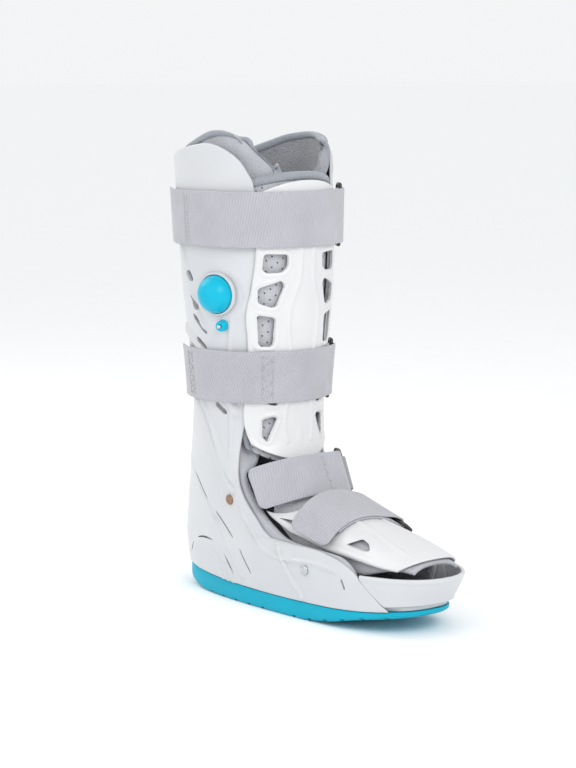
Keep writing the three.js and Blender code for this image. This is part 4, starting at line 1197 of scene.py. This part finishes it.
# Rows of sewn stitches: small beads that follow a strap's face.
def stitchPiece(name, place, offset, seams, length):
    mesh = bmesh.new()
    for start, end in seams:
        start, end = np.array(start), np.array(end)
        count = max(2, round(float(np.hypot(*(end - start))) / (length * 1.45)))
        for index in range(count):
            run, across = start + (end - start) * (index + 0.5) / count
            lift = offset(run)
            spot = Vector(place(np.array(run), lift, np.array(across)))
            step = (end - start) / np.hypot(*(end - start)) * 0.001
            ahead = Vector(place(np.array(run + step[0]), lift, np.array(across + step[1]))) - spot
            out = Vector(place(np.array(run), lift + 0.001, np.array(across))) - spot
            side = out.cross(ahead).normalized()
            out = ahead.cross(side).normalized()
            turn = Matrix((ahead.normalized(), side, out)).transposed().to_4x4()
            size = Matrix.Diagonal((length / 2, 0.00042, 0.00034, 1))
            matrix = Matrix.Translation(spot) @ turn @ size
            bmesh.ops.create_uvsphere(mesh, u_segments=8, v_segments=6, radius=1, matrix=matrix)
    for face in mesh.faces:
        face.smooth = True
    return addObject(name, mesh, [stitchThread])


# One strap with its stitches, its ring and the keeper that holds the ring.
def strapSet(strap, place, clearAt, radius):
    half = strap["width"] / 2
    bar = math.radians(strap["ring"]) * radius
    turn = (strapThickness + ringWire) / 2 + layerGap
    barOffset = float(clearAt(np.array(bar))) + turn
    spec = {
        "anchor": math.radians(strap["anchor"]) * radius,
        "tail": math.radians(strap["tail"]) * radius,
        "tailLift": strap["tailLift"],
    }
    length, along = foldedPath(spec, bar, clearAt, barOffset)

    def surface(s, t):
        run, offset = along(t)
        fromEnd = np.clip((1 - t) * length, 0, strapCorner)
        width = half - strapCorner + np.sqrt(strapCorner**2 - (strapCorner - fromEnd) ** 2)
        across = (2 * s - 1) * width
        return place(run, offset, across)

    def seamRelief(points, s, t):
        run, _ = along(t)
        sunk = np.zeros(s.shape)
        for seam in strap["blocks"]:
            mid = math.radians((seam[0] + seam[1]) / 2) * radius
            wide = math.radians(abs(seam[1] - seam[0]) / 2) * radius
            sunk += 0.0003 * (1 - smooth(wide, wide + 0.002, np.abs(run - mid)))
        edge = np.minimum(s, 1 - s) * strap["width"]
        return 0.00025 * raised(np.abs(edge - 0.0022), 0.0016, 1) - sunk * (t > 0.5)

    wall = {
        "columns": 30, "rows": 260, "width": strap["width"], "height": length, "rim": 0.0008,
        "wall": strapThickness, "facing": strap["facing"],
    }
    ribbon = wallPiece("strap" + strap["name"], surface, wall, [strapWebbing], seamRelief)
    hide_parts("strap_" + strap["node"])

    layer = strapThickness + layerGap
    seams = []
    for low, high in strap["blocks"]:
        first, last = math.radians(low) * radius, math.radians(high) * radius
        reach = half - stitchMargin
        seams += [((first, -reach), (first, reach)), ((last, -reach), (last, reach))]
        if strap["zigzag"]:
            steps = np.linspace(-reach, reach, 9)
            for index in range(8):
                ends = (first, last) if index % 2 == 0 else (last, first)
                seams.append(((ends[0], steps[index]), (ends[1], steps[index + 1])))

    def stitchOffset(run):
        return float(clearAt(np.array(run))) + layer + strapThickness / 2 + 0.0001

    stitches = stitchPiece("stitches" + strap["name"], place, stitchOffset, seams, stitchLength)

    farBar = bar + ringOpening + ringWire
    keeperRun = {
        "anchor": math.radians(strap["keeperEnd"]) * radius,
        "tail": math.radians(strap["keeperEnd"] - strap["keeperFold"]) * radius,
    }
    keeperLength, keeperAlong = foldedPath(keeperRun, farBar, clearAt, barOffset)

    def keeperSurface(s, t):
        run, offset = keeperAlong(t)
        return place(run, offset, (2 * s - 1) * half * keeperWidthShare)

    keeperWall = {
        "columns": 24, "rows": 120, "width": 2 * half * keeperWidthShare, "height": keeperLength,
        "rim": 0.0008, "wall": strapThickness, "facing": -strap["facing"],
    }
    keeper = wallPiece("keeper" + strap["name"], keeperSurface, keeperWall, [keeperWebbing])
    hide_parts("keeper_" + strap["node"])

    wire = ringWire / 2
    reach = half + ringSideClear + wire
    corners = [(bar, -reach), (bar, reach), (farBar, reach), (farBar, -reach)]
    spine = []
    for index, here in enumerate(corners):
        here = np.array(here)
        before = unitRows(np.array(corners[index - 1]) - here)
        after = unitRows(np.array(corners[(index + 1) % 4]) - here)
        for t in np.linspace(0, 1, 6):
            first = (1 - t) ** 2 * (here + before * ringCurl)
            last = t * t * (here + after * ringCurl)
            spine.append(first + 2 * t * (1 - t) * here + last)
        nextCorner = np.array(corners[(index + 1) % 4])
        for t in np.linspace(0.1, 0.9, 9):
            spine.append(here + after * ringCurl + t * (nextCorner - here - 2 * after * ringCurl))
    spine = np.array(spine)
    centres = place(spine[:, 0], barOffset, spine[:, 1])
    outs = unitRows(place(spine[:, 0], barOffset + 0.001, spine[:, 1]) - centres)
    alongs = unitRows(np.roll(centres, -1, axis=0) - np.roll(centres, 1, axis=0))
    sides = unitRows(np.cross(alongs, outs))
    rise = unitRows(np.cross(sides, alongs))
    tube = {"sides": 16, "across": wire, "up": wire, "power": 1, "closed": True}
    ring = tubePiece("ring" + strap["name"], centres, sides, rise, tube, [ringPaint])
    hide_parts("ring_" + strap["node"])


# Straps: angles in degrees from the front; blocks are the sewn stretches.
legStraps = [
    {
        "name": "Top", "node": "top", "height": 0.8170, "width": legStrapWidth, "anchor": -118,
        "tail": -146, "ring": 52, "keeperEnd": 128, "keeperFold": 30, "tailLift": 0.0022, "facing": 1,
        "zigzag": False, "blocks": [(-98, -95)],
    },
    {
        "name": "Calf", "node": "calf", "height": 0.4850, "width": calfStrapWidth, "anchor": -112,
        "tail": -138, "ring": 54, "keeperEnd": 128, "keeperFold": 30, "tailLift": 0.0015, "facing": 1,
        "zigzag": True, "blocks": [(-36, -27), (-112, -104)],
    },
]
instepStraps = [
    {
        "name": "Ankle", "node": "ankle", "station": 0.82, "slant": 0, "lift": 0.0075,
        "width": ankleStrapWidth, "anchor": -44, "tail": -66, "ring": 32, "keeperEnd": 62, "keeperFold": 8,
        "tailLift": 0.001, "facing": -1, "zigzag": True, "blocks": [(8, 24)],
    },
    {
        "name": "Forefoot", "node": "forefoot", "station": 0.55, "slant": -0.05, "lift": 0.0026,
        "width": legStrapWidth, "anchor": -42, "tail": -64, "ring": 36, "keeperEnd": 64, "keeperFold": 8,
        "tailLift": 0.001, "facing": -1, "zigzag": False, "blocks": [(-56, -53)],
    },
]
for strap in legStraps:
    strapSet(strap, legPlace(strap), legClear, legRadius)
for strap in instepStraps:
    strapSet(strap, instepPlace(strap), instepClear(strap["lift"]), archRadius)
print("straps and rings made")


# Round fitting on a side wall: a profile spun round its axis and set on the wall.
def spunPiece(name, spec, place, side, seat, materials):
    mesh = bmesh.new()
    profile = rounded(spec["profile"], spec["round"]) if "round" in spec else spec["profile"]
    verts = [mesh.verts.new((radius, 0, height)) for radius, height in profile]
    pairs = list(zip(verts, verts[1:]))
    if spec.get("ring"):
        pairs.append((verts[-1], verts[0]))
    edges = [mesh.edges.new(pair) for pair in pairs]
    bmesh.ops.spin(
        mesh, geom=verts + edges, cent=(0, 0, 0), axis=(0, 0, 1), angle=2 * math.pi,
        steps=spec["steps"], use_merge=True,
    )
    bmesh.ops.remove_doubles(mesh, verts=mesh.verts[:], dist=1e-6)
    x, height = place[0] * bootLength, place[1] * bootHeight
    near, far = 0.0, math.pi
    for _ in range(40):
        middle = (near + far) / 2
        if legPoint(np.array(middle), height, 0)[0] > x:
            near = middle
        else:
            far = middle
    spot = Vector(legPoint(np.array(side * near), height, 0))
    ahead = Vector(legPoint(np.array(side * (near - 0.01)), height, 0)) - spot
    above = Vector(legPoint(np.array(side * near), height + 0.001, 0)) - spot
    out = ahead.cross(above).normalized() * -side
    turn = Vector((0, 0, 1)).rotation_difference(out).to_matrix().to_4x4()
    bmesh.ops.transform(mesh, matrix=Matrix.Translation(spot + out * seat) @ turn, verts=mesh.verts[:])
    bmesh.ops.recalc_face_normals(mesh, faces=mesh.faces[:])
    for face in mesh.faces:
        face.smooth = True
    obj = addObject(name, mesh, materials)
    obj.data.set_sharp_from_angle(angle=math.radians(40))
    return obj


# Profile with its inner corners rounded.
def rounded(profile, radius):
    corners = [np.array(spot) for spot in profile]
    out = [tuple(corners[0])]
    for before, here, after in zip(corners, corners[1:], corners[2:]):
        first = here + unitRows(before - here) * min(radius, 0.45 * np.hypot(*(before - here)))
        last = here + unitRows(after - here) * min(radius, 0.45 * np.hypot(*(after - here)))
        for t in (0, 0.25, 0.5, 0.75, 1):
            out.append(tuple((1 - t) ** 2 * first + 2 * t * (1 - t) * here + t * t * last))
    return [*out, tuple(corners[-1])]


domeSpec = {"radius": 0.0175, "height": 0.019, "foot": 0.0158, "steps": 64}
domeRun = []
for turn in np.linspace(0, math.pi / 2, 20)[:-1]:
    rise = 0.12 + 0.88 * math.sin(turn)
    domeRun.append((domeSpec["radius"] * math.cos(turn), domeSpec["height"] * rise))
domeProfile = [(0, 0), (domeSpec["foot"], 0), *domeRun, (0, domeSpec["height"])]
bulbSpec = {"profile": domeProfile, "steps": domeSpec["steps"]}
bulb = spunPiece("pumpBulb", bulbSpec, bulbPlace, -1, seatGap, [pumpRubber])
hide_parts("pump_bulb")
collarSpec = {
    "profile": [(0.0179, 0), (0.0205, 0), (0.0198, 0.0034), (0.0182, 0.0034), (0.0179, 0.0002)],
    "round": 0.0005, "steps": 64, "ring": True,
}
collar = spunPiece("bulbCollar", collarSpec, bulbPlace, -1, seatGap, [shellPlastic])
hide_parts("bulb_collar")
valveSpec = {
    "profile": [(0, 0), (0.0054, 0), (0.0052, 0.0040), (0.0047, 0.0070), (0.0026, 0.0070), (0, 0.0070)],
    "round": 0.0006, "steps": 40,
}
valve = spunPiece("valveBody", valveSpec, valvePlace, -1, seatGap, [pumpRubber])
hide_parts("valve_body")
stemSpec = {
    "profile": [(0, 0), (0.0019, 0), (0.0019, 0.0022), (0.0012, 0.0030), (0, 0.0030)],
    "round": 0.0003, "steps": 32,
}
stem = spunPiece("valveStem", stemSpec, valvePlace, -1, 2 * seatGap + 0.007, [steel])
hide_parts("valve_stem")
rivetSpec = {
    "profile": [(0, 0), (0.0050, 0), (0.0048, 0.0010), (0.0030, 0.0022), (0.0016, 0.0017), (0, 0.0015)],
    "round": 0.0005, "steps": 40,
}
for placeName, spot in (("ankle", ankleRivet), ("toe", toeRivet)):
    for sideName, side in (("near", -1), ("far", 1)):
        name = placeName + sideName.capitalize() + "Rivet"
        metal = bronze if placeName == "ankle" else steel
        rivet = spunPiece(name, rivetSpec, spot, side, seatGap, [metal])
        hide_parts(f"rivet_{placeName}_{sideName}")
print("pump and rivets made")

# Floor, lights and camera.
mesh = bmesh.new()
bmesh.ops.create_grid(mesh, x_segments=8, y_segments=8, size=60)
floorMesh = bpy.data.meshes.new("floor")
mesh.to_mesh(floorMesh)
mesh.free()
floorMesh.materials.append(plasticMaterial("floorPaint", floorFinish))
floor = bpy.data.objects.new("floor", floorMesh)
bpy.context.scene.collection.objects.link(floor)

world = bpy.data.worlds.new("studio")
bpy.context.scene.world = world
world.use_nodes = True
background = world.node_tree.nodes["Background"]
background.inputs["Color"].default_value = (0.98, 0.99, 1.0, 1)
background.inputs["Strength"].default_value = 0.92


def addLight(name, spec):
    data = bpy.data.lights.new(name, "AREA")
    data.energy = spec["power"]
    data.size = spec["size"]
    light = bpy.data.objects.new(name, data)
    light.location = spec["place"]
    aim = Vector(spec["aim"]) - Vector(spec["place"])
    light.rotation_euler = aim.to_track_quat("-Z", "Y").to_euler()
    bpy.context.scene.collection.objects.link(light)


addLight("keyLight", {"power": 13, "size": 0.9, "place": (1.6, -0.5, 1.3), "aim": (0, 0, 0.2)})
addLight("fillLight", {"power": 4, "size": 1.5, "place": (0.2, -1.8, 0.9), "aim": (0, 0, 0.2)})
addLight("rimLight", {"power": 6, "size": 1.0, "place": (-1.2, -0.4, 1.3), "aim": (0, 0, 0.25)})

cameraData = bpy.data.cameras.new("camera")
cameraData.sensor_fit = "VERTICAL"
cameraData.sensor_height = 36
cameraData.sensor_width = 27
cameraData.lens = 112.5
camera = bpy.data.objects.new("camera", cameraData)
target = Vector((-0.003, -0.038, 0.210))
back = Vector((0.7482, -0.6504, 0.1305)).normalized()
camera.location = target + back * 2.18
camera.rotation_euler = back.to_track_quat("Z", "Y").to_euler()
bpy.context.scene.collection.objects.link(camera)
bpy.context.scene.camera = camera
bpy.context.scene.view_settings.view_transform = "Standard"
print("stage made")
